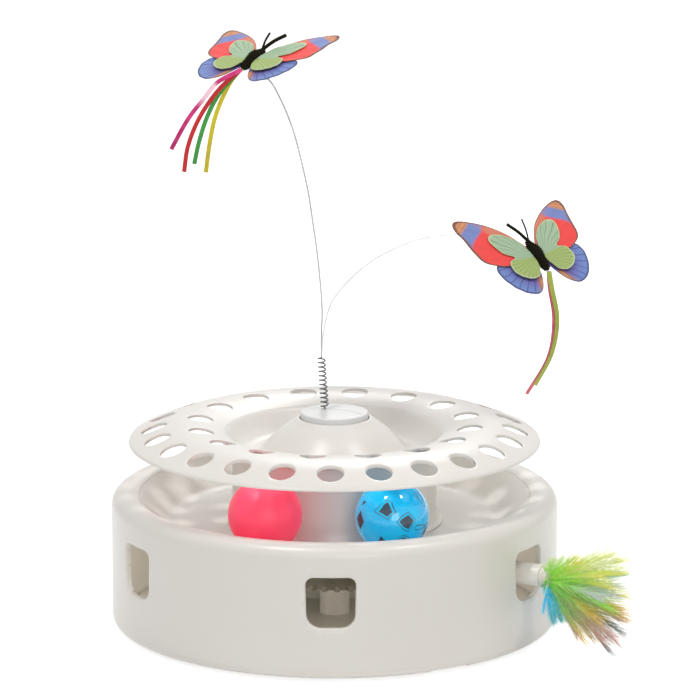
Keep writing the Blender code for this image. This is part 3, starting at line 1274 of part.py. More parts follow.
def feather_drive():
    # The train stands in line towards the window that the feather is out of
    facing = bearing_turn(FEATHER_WINDOW_BEARING)
    crank_axis = axis_empty("crank_axis", facing)
    crank_gear(crank_axis)
    sun = gear_part("sun_gear", SUN_TEETH, DRIVE_MODULE, DRIVE_GEAR_BOTTOM, PLANET_WIDTH - SEAT_GAP,
                    SUN_SEAT_RADIUS + RUNNING_GAP, 0.0, None)
    sun.matrix_world = facing
    idler_axis = axis_empty("idler_axis", Matrix.Translation((IDLER_RADIUS, 0, 0)), crank_axis)
    gear_part("idler_gear", IDLER_TEETH, DRIVE_MODULE, DRIVE_GEAR_BOTTOM, PLANET_WIDTH - SEAT_GAP,
              IDLER_PIN_RADIUS + RUNNING_GAP, pi + pi / IDLER_TEETH, idler_axis)
    arm_axis = axis_empty("feather_arm_axis", Matrix.Translation((CRANK_RADIUS, 0, 0)), crank_axis)
    feather_arm(arm_axis)
    feather_plug(arm_axis)
    feather_tuft(arm_axis)
    toward = radians(FEATHER_MOTOR_BEARING) - pi / 2
    place = bearing_point(FEATHER_MOTOR_BEARING, CRANK_PINION_DISTANCE)
    motor_and_pinion("feather", place, FEATHER_MOTOR_RADIUS, TRAY_TOP + SEAT_GAP, FEATHER_MOTOR_TOP,
                     CRANK_PINION_TEETH, CRANK_MODULE, CRANK_BOTTOM, CRANK_THICKNESS, toward + pi)


def crank_gear(crank_axis):
    # One tooth of the crank points at the motor pinion
    toward = radians(FEATHER_MOTOR_BEARING - FEATHER_WINDOW_BEARING)
    outlines = [gear_outline(CRANK_TEETH, CRANK_MODULE, toward),
                bore_outline(CRANK_BEARING_RADIUS + RUNNING_GAP)]
    mesh = flat_mesh("crank_gear", outlines, CRANK_THICKNESS)
    mesh.transform(Matrix.Translation((0, 0, CRANK_BOTTOM + CRANK_THICKNESS / 2)))
    crank = add_part("crank_gear", mesh, "gear", crank_axis)
    pins = bpy.data.meshes.new("crank_pins")
    bm = bmesh.new()
    root = CRANK_BOTTOM + CRANK_THICKNESS / 2
    for distance, radius, top in ((IDLER_RADIUS, IDLER_PIN_RADIUS, DRIVE_GEAR_TOP),
                                  (CRANK_RADIUS, ARM_PIN_RADIUS, ARM_PIN_TOP)):
        add_rod(bm, (distance, 0, (root + top) / 2), radius, top - root)
    tool = add_cutter("crank_pins", finish_mesh(pins, bm))
    tool.parent = crank_axis
    boolean(crank, tool, "UNION")


def feather_arm(arm_axis):
    # The planet gear, a hub that turns on the crank's pin, and the round arm
    hub = [
        (0, ARM_HUB_TOP),
        (ARM_HUB_RADIUS, ARM_HUB_TOP),
        (ARM_HUB_RADIUS, ARM_HEIGHT - ARM_RADIUS),
        (ARM_NECK_RADIUS, ARM_HEIGHT - ARM_RADIUS),
        (ARM_NECK_RADIUS, DRIVE_GEAR_TOP - PLANET_WIDTH / 4),
        (0, DRIVE_GEAR_TOP - PLANET_WIDTH / 4),
    ]
    hub_mesh = turned_mesh("feather_arm", hub, ROUND_SEGMENTS + SMALL_SEGMENTS)
    arm = add_part("feather_arm", hub_mesh, "warm_white", arm_axis)
    planet = flat_mesh("planet", [gear_outline(PLANET_TEETH, DRIVE_MODULE, pi)], PLANET_WIDTH)
    planet.transform(Matrix.Translation((0, 0, DRIVE_GEAR_BOTTOM + PLANET_WIDTH / 2)))
    rod = bpy.data.meshes.new("arm_rod")
    bm = bmesh.new()
    lie = Matrix.Translation((0, 0, ARM_HEIGHT)) @ Matrix.Rotation(pi / 2, 4, "Y")
    add_rod(bm, (0, 0, ARM_LENGTH / 2), ARM_RADIUS, ARM_LENGTH, ROUND_SEGMENTS, lie)
    finish_mesh(rod, bm)
    socket = bpy.data.meshes.new("arm_socket")
    bm = bmesh.new()
    add_rod(bm, (0, 0, ARM_LENGTH + (CUT_OVERRUN - ARM_SOCKET_DEPTH) / 2), ARM_SOCKET_RADIUS,
            ARM_SOCKET_DEPTH + CUT_OVERRUN, SMALL_SEGMENTS, lie)
    finish_mesh(socket, bm)
    bore_corner = corner_radius(ARM_PIN_RADIUS + RUNNING_GAP, ROUND_SEGMENTS)
    bore = rod_mesh("arm_bore", bore_corner, DRIVE_GEAR_BOTTOM - CUT_OVERRUN, ARM_PIN_TOP + SEAT_GAP)
    for mesh, operation in ((planet, "UNION"), (rod, "UNION"), (socket, "DIFFERENCE"), (bore, "DIFFERENCE")):
        tool = add_cutter(mesh.name, mesh)
        tool.parent = arm_axis
        boolean(arm, tool, operation)


def feather_plug(arm_axis):
    # A stem in the arm's socket, a collar outside it and a cupped nose for the feather
    stem = ARM_SOCKET_RADIUS - SEAT_GAP
    profile = [
        (0, PLUG_COLLAR + SEAT_GAP),
        (PLUG_COLLAR_RADIUS, PLUG_COLLAR + SEAT_GAP),
        (PLUG_COLLAR_RADIUS, SEAT_GAP),
        (stem, SEAT_GAP),
        (stem, SEAT_GAP - ARM_SOCKET_DEPTH + SEAT_GAP),
        (0, SEAT_GAP - ARM_SOCKET_DEPTH + SEAT_GAP),
    ]
    mesh = turned_mesh("feather_plug", profile, SMALL_SEGMENTS)
    lie = Matrix.Translation((ARM_LENGTH, 0, ARM_HEIGHT)) @ Matrix.Rotation(pi / 2, 4, "Y")
    mesh.transform(lie)
    add_part("feather_plug", mesh, "plug", arm_axis)


def feather_tuft(arm_axis):
    # A small ball whose outward faces are drawn out, one by one, into tapering barbs
    mesh = bpy.data.meshes.new("feather_tuft")
    bm = bmesh.new()
    bmesh.ops.create_icosphere(bm, subdivisions=3, radius=TUFT_ROOT_RADIUS)
    droop = radians(TUFT_DROOP)
    aim = Vector((cos(droop), 0, -sin(droop)))
    chance = random.Random(7)
    barbs = []
    for face in bm.faces:
        outward = face.calc_center_median().normalized()
        if outward.dot(aim) > cos(radians(TUFT_FAN)):
            barbs.append((face, outward))
    for face, outward in barbs:
        spread = 1 + TUFT_LENGTH_SPREAD_SHARE * chance.uniform(-1, 1)
        length = TUFT_LENGTH * spread
        tip = face
        reached = 0.0
        width_left = 1.0
        for length_share, width_share in TUFT_STAGE_SHARES:
            made = bmesh.ops.extrude_discrete_faces(bm, faces=[tip])["faces"]
            tip = made[0]
            shift = outward * length * (length_share - reached)
            shift.z -= TUFT_SAG_SHARE * length * (length_share ** 2 - reached ** 2)
            bmesh.ops.translate(bm, vec=shift, verts=tip.verts)
            centre = tip.calc_center_median()
            shrink = width_share / width_left
            for vert in tip.verts:
                vert.co = centre + (vert.co - centre) * shrink
            reached = length_share
            width_left = width_share
    root = ARM_LENGTH + PLUG_COLLAR + 2 * SEAT_GAP + TUFT_ROOT_RADIUS
    bmesh.ops.translate(bm, vec=(root, 0, ARM_HEIGHT), verts=bm.verts)
    add_part("feather_tuft", finish_mesh(mesh, bm), "feather", arm_axis)


def main():
    outer_housing()
    base_tray()
    battery_door()
    batteries()
    power_switch()
    circuit_board()
    rubber_feet()
    housing_screws()
    ball_track()
    pink_ball()
    blue_ball()
    tower()
    perforated_disc()
    wands(rotor_drive())
    feather_drive()


main()
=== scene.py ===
import random
from math import atan2, ceil, cos, hypot, pi, radians, sin, sqrt, tan

import bmesh
import bpy
from mathutils import Matrix, Vector


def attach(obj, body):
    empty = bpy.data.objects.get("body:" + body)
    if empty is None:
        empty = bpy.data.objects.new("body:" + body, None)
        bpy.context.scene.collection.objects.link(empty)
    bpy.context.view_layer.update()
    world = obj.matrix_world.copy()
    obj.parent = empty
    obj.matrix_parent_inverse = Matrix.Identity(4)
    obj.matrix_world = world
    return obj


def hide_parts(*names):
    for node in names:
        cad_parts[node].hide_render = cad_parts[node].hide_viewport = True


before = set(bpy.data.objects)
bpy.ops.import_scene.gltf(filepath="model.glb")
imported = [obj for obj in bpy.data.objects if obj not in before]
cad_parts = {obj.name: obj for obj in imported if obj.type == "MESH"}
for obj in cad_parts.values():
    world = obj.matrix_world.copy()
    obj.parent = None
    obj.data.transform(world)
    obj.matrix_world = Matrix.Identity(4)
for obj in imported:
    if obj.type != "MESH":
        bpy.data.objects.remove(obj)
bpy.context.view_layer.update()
mm = 0.001


# small helpers
def deselectAll():
    if bpy.context.mode != "OBJECT":
        bpy.ops.object.mode_set(mode="OBJECT")
    bpy.ops.object.select_all(action="DESELECT")


def makeActive(piece):
    deselectAll()
    piece.select_set(True)
    bpy.context.view_layer.objects.active = piece


def settle(piece):
    makeActive(piece)
    bpy.ops.object.transform_apply(location=True, rotation=True, scale=True)


def applyModifier(piece, kind, **values):
    makeActive(piece)
    step = piece.modifiers.new(kind.lower(), kind)
    for key, value in values.items():
        setattr(step, key, value)
    bpy.ops.object.modifier_apply(modifier=step.name)


def addToScene(piece):
    bpy.context.scene.collection.objects.link(piece)
    return piece


def remove(piece):
    bpy.data.objects.remove(piece, do_unlink=True)


def cutWith(piece, cutter, operation="DIFFERENCE"):
    applyModifier(piece, "BOOLEAN", operation=operation, solver="EXACT", object=cutter)
    remove(cutter)


def selectFaces(piece, test):
    # picks faces in edit mode by their centre and normal
    bpy.ops.mesh.select_mode(type="FACE")
    bpy.ops.mesh.select_all(action="DESELECT")
    net = bmesh.from_edit_mesh(piece.data)
    for face in net.faces:
        if test(face.calc_center_median(), face.normal):
            face.select_set(True)
    bmesh.update_edit_mesh(piece.data)


def selectEdges(piece, test):
    bpy.ops.mesh.select_mode(type="EDGE")
    bpy.ops.mesh.select_all(action="DESELECT")
    net = bmesh.from_edit_mesh(piece.data)
    for edge in net.edges:
        first, second = edge.verts
        if test(first.co, second.co):
            edge.select_set(True)
    bmesh.update_edit_mesh(piece.data)


def closeUp(piece, distance=0.002 * mm):
    # welds seams and poles and turns every face outwards
    makeActive(piece)
    bpy.ops.object.mode_set(mode="EDIT")
    bpy.ops.mesh.select_all(action="SELECT")
    bpy.ops.mesh.remove_doubles(threshold=distance)
    bpy.ops.mesh.normals_make_consistent(inside=False)
    bpy.ops.object.mode_set(mode="OBJECT")


def smoothBy(piece, angle):
    makeActive(piece)
    bpy.ops.object.shade_smooth_by_angle(angle=radians(angle))


def joinAll(pieces):
    deselectAll()
    for piece in pieces:
        piece.select_set(True)
    bpy.context.view_layer.objects.active = pieces[0]
    bpy.ops.object.join()
    return bpy.context.object


def copyOf(piece, turn):
    made = addToScene(piece.copy())
    made.data = piece.data.copy()
    made.data.transform(turn)
    return made


def dress(piece, look, body, nodes=(), angle=30):
    settle(piece)
    if angle:
        smoothBy(piece, angle)
    piece.data.materials.clear()
    piece.data.materials.append(look)
    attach(piece, body)
    if nodes:
        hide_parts(*nodes)
    return piece


def atBearing(bearing, radius, height=0.0):
    # bearings count from the front of the toy, towards its right
    turn = radians(bearing)
    return Vector((radius * sin(turn), -radius * cos(turn), height))


def pointing(way):
    return way.normalized().to_track_quat("Z", "X").to_matrix().to_4x4()


def arcRings(centre, radii, start, end, steps):
    rings = []
    for step in range(steps + 1):
        turn = radians(start + (end - start) * step / steps)
        rings.append((centre[0] + radii[0] * cos(turn), centre[1] + radii[1] * sin(turn)))
    return rings


def curveThrough(points, steps):
    # Catmull-Rom points through the given ones, in two or three dimensions
    places = [Vector(point) for point in points]
    places = [2 * places[0] - places[1]] + places + [2 * places[-1] - places[-2]]
    route = []
    for index in range(1, len(places) - 2):
        before, start, end, after = places[index - 1:index + 3]
        for step in range(steps):
            t = step / steps
            route.append(0.5 * (2 * start + (end - before) * t
                                + (2 * before - 5 * start + 4 * end - after) * t ** 2
                                + (3 * start - before - 3 * end + after) * t ** 3))
    route.append(places[-2])
    return route


def turnedPiece(name, rings, segments, closed=True):
    # a circle, extruded and resized from ring to ring; rings are (radius, height) in mm
    deselectAll()
    radius, height = rings[0]
    bpy.ops.mesh.primitive_circle_add(vertices=segments, radius=radius * mm, location=(0, 0, height * mm))
    piece = bpy.context.object
    piece.name = name
    settle(piece)
    bpy.ops.object.mode_set(mode="EDIT")
    bpy.ops.mesh.select_mode(type="EDGE")
    bpy.ops.mesh.select_all(action="SELECT")
    if not closed:
        bpy.ops.mesh.edge_face_add()
    for (wide, low), (nextWide, nextLow) in zip(rings, rings[1:]):
        bpy.ops.mesh.extrude_region_move(TRANSFORM_OT_translate={"value": (0, 0, (nextLow - low) * mm)})
        share = nextWide / wide
        bpy.ops.transform.resize(value=(share, share, 1), center_override=(0, 0, 0))
    if not closed:
        bpy.ops.mesh.edge_face_add()
    bpy.ops.object.mode_set(mode="OBJECT")
    closeUp(piece)
    return piece


def tubeAlong(name, route, radius, sides=3):
    # a curve with a round bevel, made a mesh whose end caps are welded on
    line = bpy.data.curves.new(name, "CURVE")
    line.dimensions = "3D"
    line.bevel_depth = radius
    line.bevel_resolution = sides
    line.use_fill_caps = True
    strand = line.splines.new("POLY")
    strand.points.add(len(route) - 1)
    for point, place in zip(strand.points, route):
        point.co = (*place, 1)
    makeActive(addToScene(bpy.data.objects.new(name, line)))
    bpy.ops.object.convert(target="MESH")
    piece = bpy.context.object
    closeUp(piece)
    return piece


# materials
def feed(node, values):
    # links what comes from another node, and sets what is a number or a colour
    for label, value in values.items():
        socket = node.inputs[label]
        if isinstance(value, bpy.types.NodeSocket):
            node.id_data.links.new(value, socket)
        elif isinstance(value, tuple):
            socket.default_value = (*value, 1.0)[:len(socket.default_value)]
        else:
            socket.default_value = value


def addNode(tree, kind, values, **settings):
    node = tree.nodes.new("ShaderNode" + kind)
    for key, value in settings.items():
        setattr(node, key, value)
    feed(node, values)
    return node


def placeIn(tree):
    return addNode(tree, "TexCoord", {}).outputs["Object"]


def dyeIn(tree):
    return addNode(tree, "Attribute", {}, attribute_name="dye").outputs["Color"]


def partsOf(tree, source):
    return addNode(tree, "SeparateXYZ", {0: source}).outputs


def noiseIn(tree, source, scale, detail=3.0, rough=0.55):
    values = {"Vector": source, "Scale": scale, "Detail": detail, "Roughness": rough}
    return addNode(tree, "TexNoise", values).outputs["Fac"]


def mathIn(tree, operation, *terms):
    return addNode(tree, "Math", dict(enumerate(terms)), operation=operation).outputs[0]


def times(tree, first, second):
    return mathIn(tree, "MULTIPLY", first, second)


def plus(tree, first, second):
    return mathIn(tree, "ADD", first, second)


def mixIn(tree, share, first, second, blend="MIX"):
    values = {0: share, 6: first, 7: second}
    return addNode(tree, "Mix", values, data_type="RGBA", blend_type=blend).outputs[2]


def rangeIn(tree, value, low, high, newLow=0.0, newHigh=1.0, kind="SMOOTHSTEP"):
    values = {"Value": value, "From Min": low, "From Max": high, "To Min": newLow, "To Max": newHigh}
    return addNode(tree, "MapRange", values, interpolation_type=kind).outputs["Result"]


def bumpOnto(tree, shader, height, strength, distance):
    bump = addNode(tree, "Bump", {"Height": height, "Strength": strength, "Distance": distance * mm})
    feed(shader, {"Normal": bump.outputs["Normal"]})


def groupWith(name, inputs, outputs):
    # a shader group with named inputs at their usual values, and named outputs
    tree = bpy.data.node_groups.new(name, "ShaderNodeTree")
    for label, value in inputs.items():
        isColour = isinstance(value, tuple)
        socket = tree.interface.new_socket(label, in_out="INPUT",
                                           socket_type="NodeSocketColor" if isColour else "NodeSocketFloat")
        socket.default_value = (*value, 1.0) if isColour else value
    for label in outputs:
        kind = "NodeSocketColor" if label == "Colour" else "NodeSocketFloat"
        tree.interface.new_socket(label, in_out="OUTPUT", socket_type=kind)
    return tree, tree.nodes.new("NodeGroupInput"), tree.nodes.new("NodeGroupOutput")


def placeGroup(tree, group, values):
    return addNode(tree, "Group", values, node_tree=group).outputs


def makeSkinGroup():
    # cloudy colour, uneven polish and a fine spark-eroded grain, as on moulded plastic
    tree, start, end = groupWith("mouldedSkin", {
        "Colour": (0.8, 0.8, 0.8), "Shade Colour": (0.6, 0.6, 0.6), "Cloud Scale": 14.0, "Cloud Share": 0.3,
        "Grain Scale": 1600.0, "Polish": 0.4, "Polish Spread": 0.12,
    }, ("Colour", "Roughness", "Height"))
    given, place = start.outputs, placeIn(tree)
    cloud = rangeIn(tree, noiseIn(tree, place, given["Cloud Scale"]), 0.35, 0.75)
    share = times(tree, cloud, given["Cloud Share"])
    smear = mathIn(tree, "SUBTRACT", noiseIn(tree, place, 60.0, 4.0, 0.7), 0.5)
    spread = times(tree, times(tree, smear, given["Polish Spread"]), 2.0)
    feed(end, {
        "Colour": mixIn(tree, share, given["Colour"], given["Shade Colour"]),
        "Roughness": plus(tree, given["Polish"], spread),
        "Height": noiseIn(tree, place, given["Grain Scale"], 2.0),
    })
    return tree


def makeDustGroup():
    # a thin film of dust on what faces up
    tree, start, end = groupWith("restingDust", {
        "Colour": (0.8, 0.8, 0.8), "Dust Colour": (0.62, 0.58, 0.52), "Amount": 0.1,
    }, ("Colour",))
    given = start.outputs
    facing = partsOf(tree, addNode(tree, "NewGeometry", {}).outputs["Normal"])["Z"]
    specks = rangeIn(tree, noiseIn(tree, placeIn(tree), 320.0, 5.0, 0.75), 0.45, 0.7, 0.2, 1.0)
    share = times(tree, times(tree, rangeIn(tree, facing, 0.3, 1.0), specks), given["Amount"])
    feed(end, {"Colour": mixIn(tree, share, given["Colour"], given["Dust Colour"])})
    return tree


def makeStreakGroup():
    # drawn metal: fine lines along one axis
    tree, start, end = groupWith("drawnMetal", {
        "Colour": (0.5, 0.5, 0.5), "Dark Colour": (0.3, 0.3, 0.3), "Line Scale": 900.0, "Polish": 0.3,
    }, ("Colour", "Roughness", "Height"))
    given, place = start.outputs, placeIn(tree)
    squeezed = addNode(tree, "Mapping", {"Vector": place, "Scale": (1.0, 1.0, 0.06)}).outputs[0]
    lines = noiseIn(tree, squeezed, given["Line Scale"], 3.0, 0.6)
    stain = rangeIn(tree, noiseIn(tree, place, 90.0, 4.0, 0.6), 0.4, 0.7, 0.0, 0.8)
    feed(end, {
        "Colour": mixIn(tree, stain, given["Colour"], given["Dark Colour"]),
        "Roughness": plus(tree, given["Polish"], times(tree, lines, 0.2)),
        "Height": lines,
    })
    return tree


def makeWingGroup():
    # reads the wing's own map: how far out a point lies, its angle, and the veins between
    tree, start, end = groupWith("wingVeins", {
        "Vein Count": 16.0, "Vein Width": 0.12, "Bend": 2.0,
    }, ("Vein", "Angle", "Reach", "Margin", "Fleck"))
    given = start.outputs
    chart = addNode(tree, "UVMap", {}, uv_map="wingMap").outputs[0]
    spot = partsOf(tree, chart)
    angle = mathIn(tree, "ARCTAN2", spot["Y"], spot["X"])
    squares = plus(tree, times(tree, spot["X"], spot["X"]), times(tree, spot["Y"], spot["Y"]))
    wander = times(tree, noiseIn(tree, chart, 5.0, 2.0), given["Bend"])
    fan = plus(tree, times(tree, angle, given["Vein Count"]), wander)
    ridge = mathIn(tree, "ABSOLUTE", mathIn(tree, "SINE", fan))
    edge = addNode(tree, "Attribute", {}, attribute_name="edgeShare").outputs["Fac"]
    feed(end, {
        "Vein": rangeIn(tree, ridge, 0.0, given["Vein Width"], 1.0, 0.0),
        "Angle": angle,
        "Reach": mathIn(tree, "SQRT", squares),
        "Margin": rangeIn(tree, edge, 0.94, 0.975),
        "Fleck": noiseIn(tree, chart, 60.0, 4.0, 0.7),
    })
    return tree


skinGroup = makeSkinGroup()
dustGroup = makeDustGroup()
streakGroup = makeStreakGroup()
wingGroup = makeWingGroup()


def startLook(name):
    look = bpy.data.materials.new(name)
    look.use_nodes = True
    tree = look.node_tree
    return look, tree, tree.nodes["Principled BSDF"]


def plasticLook(name, colour, shade, polish=0.4, spread=0.1, cloud=14.0, share=0.3, grain=1600.0,
                bump=0.12, dust=0.08, fixed=None):
    look, tree, shader = startLook(name)
    skin = placeGroup(tree, skinGroup, {
        "Colour": colour, "Shade Colour": shade, "Cloud Scale": cloud, "Cloud Share": share,
        "Grain Scale": grain, "Polish": polish, "Polish Spread": spread,
    })
    film = placeGroup(tree, dustGroup, {"Amount": dust, "Colour": skin["Colour"]})
    feed(shader, {"Base Color": film["Colour"], "Roughness": skin["Roughness"], **(fixed or {})})
    bumpOnto(tree, shader, skin["Height"], bump, 0.1)
    return look


def metalLook(name, colour, dark, polish=0.3, lines=900.0):
    look, tree, shader = startLook(name)
    drawn = placeGroup(tree, streakGroup, {"Colour": colour, "Dark Colour": dark, "Line Scale": lines,
                                           "Polish": polish})
    feed(shader, {"Base Color": drawn["Colour"], "Roughness": drawn["Roughness"], "Metallic": 1.0})
    bumpOnto(tree, shader, drawn["Height"], 0.15, 0.05)
    return look


warmWhite = plasticLook("warmWhitePlastic", (0.745, 0.712, 0.665), (0.70, 0.668, 0.612), 0.33, 0.045, 11.0,
                        0.35, 1500.0, 0.10, 0.05)
capWhite = plasticLook("capWhitePlastic", (0.71, 0.71, 0.70), (0.67, 0.67, 0.655), 0.33, 0.03, 40.0, 0.3,
                       1800.0, 0.06, 0.03)
# painted shade: the gears are given a dark tone so they sit in with the shade inside the base
gearNylonPaintedShade = plasticLook("gearNylonPaintedShade", (0.24, 0.225, 0.185), (0.20, 0.185, 0.15), 0.45, 0.1, 70.0, 0.5,
                        1500.0, 0.12, 0.1)
footRubber = plasticLook("footRubber", (0.06, 0.06, 0.06), (0.10, 0.098, 0.095), 0.78, 0.12, 80.0, 0.6,
                         2200.0, 0.3, 0.12)
switchBlack = plasticLook("switchBlack", (0.05, 0.05, 0.052), (0.09, 0.09, 0.09), 0.5, 0.1, 90.0, 0.5,
                          1900.0, 0.2)
plugPink = plasticLook("plugPlastic", (0.76, 0.715, 0.67), (0.74, 0.68, 0.63), 0.45, 0.1, 90.0, 0.4,
                       1700.0, 0.15)
# painted glow: a constant emission brightens the pink ball beyond what the lamps give
pinkPaintedGlow = {"Emission Color": (1.0, 0.04, 0.10), "Emission Strength": 0.28}
ballPink = plasticLook("ballPink", (0.98, 0.075, 0.15), (0.94, 0.05, 0.125), 0.42, 0.12, 26.0, 0.4,
                       1700.0, 0.12, 0.02, pinkPaintedGlow)
springSteel = metalLook("springSteel", (0.20, 0.20, 0.21), (0.10, 0.10, 0.11), 0.34)
wandSteel = metalLook("wandSteel", (0.42, 0.42, 0.43), (0.30, 0.30, 0.31), 0.4)
paleSteel = metalLook("paleSteel", (0.66, 0.66, 0.67), (0.50, 0.50, 0.51), 0.4)
motorCan = metalLook("motorCan", (0.55, 0.56, 0.58), (0.40, 0.41, 0.43), 0.32, 500.0)
bellBrass = metalLook("bellBrass", (0.78, 0.60, 0.25), (0.55, 0.38, 0.14), 0.28, 400.0)


def makeBoardLook():
    look, tree, shader = startLook("boardGreen")
    skin = placeGroup(tree, skinGroup, {
        "Colour": (0.03, 0.25, 0.10), "Shade Colour": (0.02, 0.16, 0.06), "Cloud Scale": 120.0,
        "Grain Scale": 1900.0, "Polish": 0.35,
    })
    traces = addNode(tree, "TexBrick", {
        "Vector": placeIn(tree), "Scale": 240.0, "Color1": (0.05, 0.34, 0.14), "Color2": (0.03, 0.24, 0.10),
        "Mortar": (0.02, 0.14, 0.06),
    }).outputs
    feed(shader, {"Base Color": mixIn(tree, 0.5, skin["Colour"], traces["Color"]),
                  "Roughness": skin["Roughness"]})
    bumpOnto(tree, shader, traces["Fac"], 0.3, 0.05)
    return look


def makeBatteryLook():
    # a pale sleeve with a copper-coloured end
    look, tree, shader = startLook("batterySleeve")
    skin = placeGroup(tree, skinGroup, {
        "Colour": (0.52, 0.50, 0.46), "Shade Colour": (0.44, 0.42, 0.38), "Cloud Scale": 60.0,
        "Grain Scale": 900.0, "Polish": 0.3,
    })
    end = rangeIn(tree, partsOf(tree, placeIn(tree))["X"], 0.0115, 0.0118)
    feed(shader, {"Base Color": mixIn(tree, end, skin["Colour"], (0.62, 0.36, 0.16)),
                  "Roughness": skin["Roughness"], "Metallic": times(tree, end, 0.9)})
    bumpOnto(tree, shader, skin["Height"], 0.1, 0.05)
    return look


def makeBlueBallLook():
    # a tinted clear shell with dark diamonds and outlines printed on it
    look, tree, shader = startLook("ballBlue")
    # painted light: the large pale cyan clouds stand for light seen inside the shell
    skin = placeGroup(tree, skinGroup, {
        "Colour": (0.0, 0.52, 0.88), "Shade Colour": (0.0, 0.72, 0.96), "Cloud Scale": 45.0,
        "Cloud Share": 0.8, "Grain Scale": 700.0, "Polish": 0.07, "Polish Spread": 0.03,
    })
    motif = addNode(tree, "TexVoronoi", {"Vector": placeIn(tree), "Scale": 96.0, "Randomness": 0.8},
                    distance="MANHATTAN").outputs
    pick = partsOf(tree, motif["Color"])
    spot = times(tree, rangeIn(tree, motif["Distance"], 0.49, 0.51, 1.0, 0.0),
                 rangeIn(tree, pick["Y"], 0.15, 0.16))
    ring = mathIn(tree, "ABSOLUTE", mathIn(tree, "SUBTRACT", motif["Distance"], 0.66))
    ring = times(tree, rangeIn(tree, ring, 0.020, 0.032, 1.0, 0.0), rangeIn(tree, pick["X"], 0.55, 0.56))
    inked = mathIn(tree, "MAXIMUM", spot, ring)
    feed(shader, {
        "Base Color": mixIn(tree, inked, skin["Colour"], (0.035, 0.065, 0.095)),
        "Roughness": plus(tree, skin["Roughness"], times(tree, inked, 0.3)),
        "Transmission Weight": 0.18,
        "IOR": 1.45,
        "Coat Weight": 0.6,
        # painted glow: the emission brightens the shell where it is not printed
        "Emission Color": mixIn(tree, inked, (0.0, 0.55, 1.0), (0.0, 0.02, 0.04)),
        "Emission Strength": 0.16,  # daylight through the tinted shell
    })
    bumpOnto(tree, shader, skin["Height"], 0.04, 0.05)
    return look


def makeChenilleLook():
    look, tree, shader = startLook("chenilleDark")
    clump = noiseIn(tree, placeIn(tree), 700.0, 3.0, 0.7)
    shade = rangeIn(tree, clump, 0.35, 0.7, 0.0, 0.8)
    feed(shader, {
        "Base Color": mixIn(tree, shade, dyeIn(tree), (0.010, 0.009, 0.004)),
        "Roughness": rangeIn(tree, clump, 0.3, 0.7, 0.8, 0.98),
        "Specular IOR Level": 0.12,
    })
    bumpOnto(tree, shader, clump, 0.4, 0.2)
    return look


def makeFeatherLook():
    look, tree, shader = startLook("dyedFeather")
    streak = noiseIn(tree, placeIn(tree), 500.0, 3.0, 0.6)
    colour = mixIn(tree, rangeIn(tree, streak, 0.35, 0.75, 0.0, 0.25), dyeIn(tree), (0.95, 0.97, 0.80))
    feed(shader, {
        "Base Color": colour,
        "Roughness": rangeIn(tree, streak, 0.3, 0.7, 0.55, 0.85),
        "Sheen Weight": 0.3,
        # painted glow: the feather colour also shines as emission
        "Emission Color": colour,
        "Emission Strength": 0.12,  # light that comes through the thin barbs
    })
    bumpOnto(tree, shader, streak, 0.2, 0.1)
    return look


def makeFoilLook(name, colour, deep, paintedGlareSpan=None):
    # thin glossy film with a faint crinkle, deeper towards its end; the span given is a painted highlight,
    # the stretch where the film catches the light
    look, tree, shader = startLook(name)
    place = addNode(tree, "TexCoord", {}).outputs
    crinkle = noiseIn(tree, place["Object"], 260.0, 4.0, 0.6)
    along = partsOf(tree, place["UV"])["Y"]
    worn = plus(tree, rangeIn(tree, crinkle, 0.35, 0.7, 0.0, 0.5), rangeIn(tree, along, 0.5, 1.0, 0.0, 0.5))
    painted = mixIn(tree, worn, colour, deep)
    if paintedGlareSpan:
        start, end = paintedGlareSpan
        # painted highlight: a pale pink stretch along the strip
        glare = times(tree, rangeIn(tree, along, start, start + 0.08),
                      rangeIn(tree, along, end - 0.14, end, 1.0, 0.0))
        painted = mixIn(tree, times(tree, glare, 0.85), painted, (0.98, 0.72, 0.82))
    feed(shader, {
        "Base Color": painted,
        "Roughness": rangeIn(tree, crinkle, 0.3, 0.7, 0.30, 0.44),
        "Specular IOR Level": 0.25,
    })
    bumpOnto(tree, shader, crinkle, 0.35, 0.2)
    return look


def startWing(name, count, width, bend):
    look, tree, shader = startLook(name)
    veins = placeGroup(tree, wingGroup, {"Vein Count": count, "Vein Width": width, "Bend": bend})
    return look, tree, shader, veins


def finishWing(tree, shader, veins, colour, veinColour, marginColour, veinShare):
    fleck = veins["Fleck"]
    inked = mixIn(tree, times(tree, veins["Vein"], veinShare), colour, veinColour)
    edged = mixIn(tree, veins["Margin"], inked, marginColour)
    pale = rangeIn(tree, fleck, 0.4, 0.8, 0.0, 0.2)
    feed(shader, {
        "Base Color": mixIn(tree, pale, edged, (1.0, 1.0, 1.0), "SOFT_LIGHT"),
        "Roughness": rangeIn(tree, fleck, 0.2, 0.8, 0.5, 0.72),
        "Sheen Weight": 0.1,
    })
    bumpOnto(tree, shader, plus(tree, veins["Vein"], times(tree, fleck, 0.4)), 0.4, 0.12)


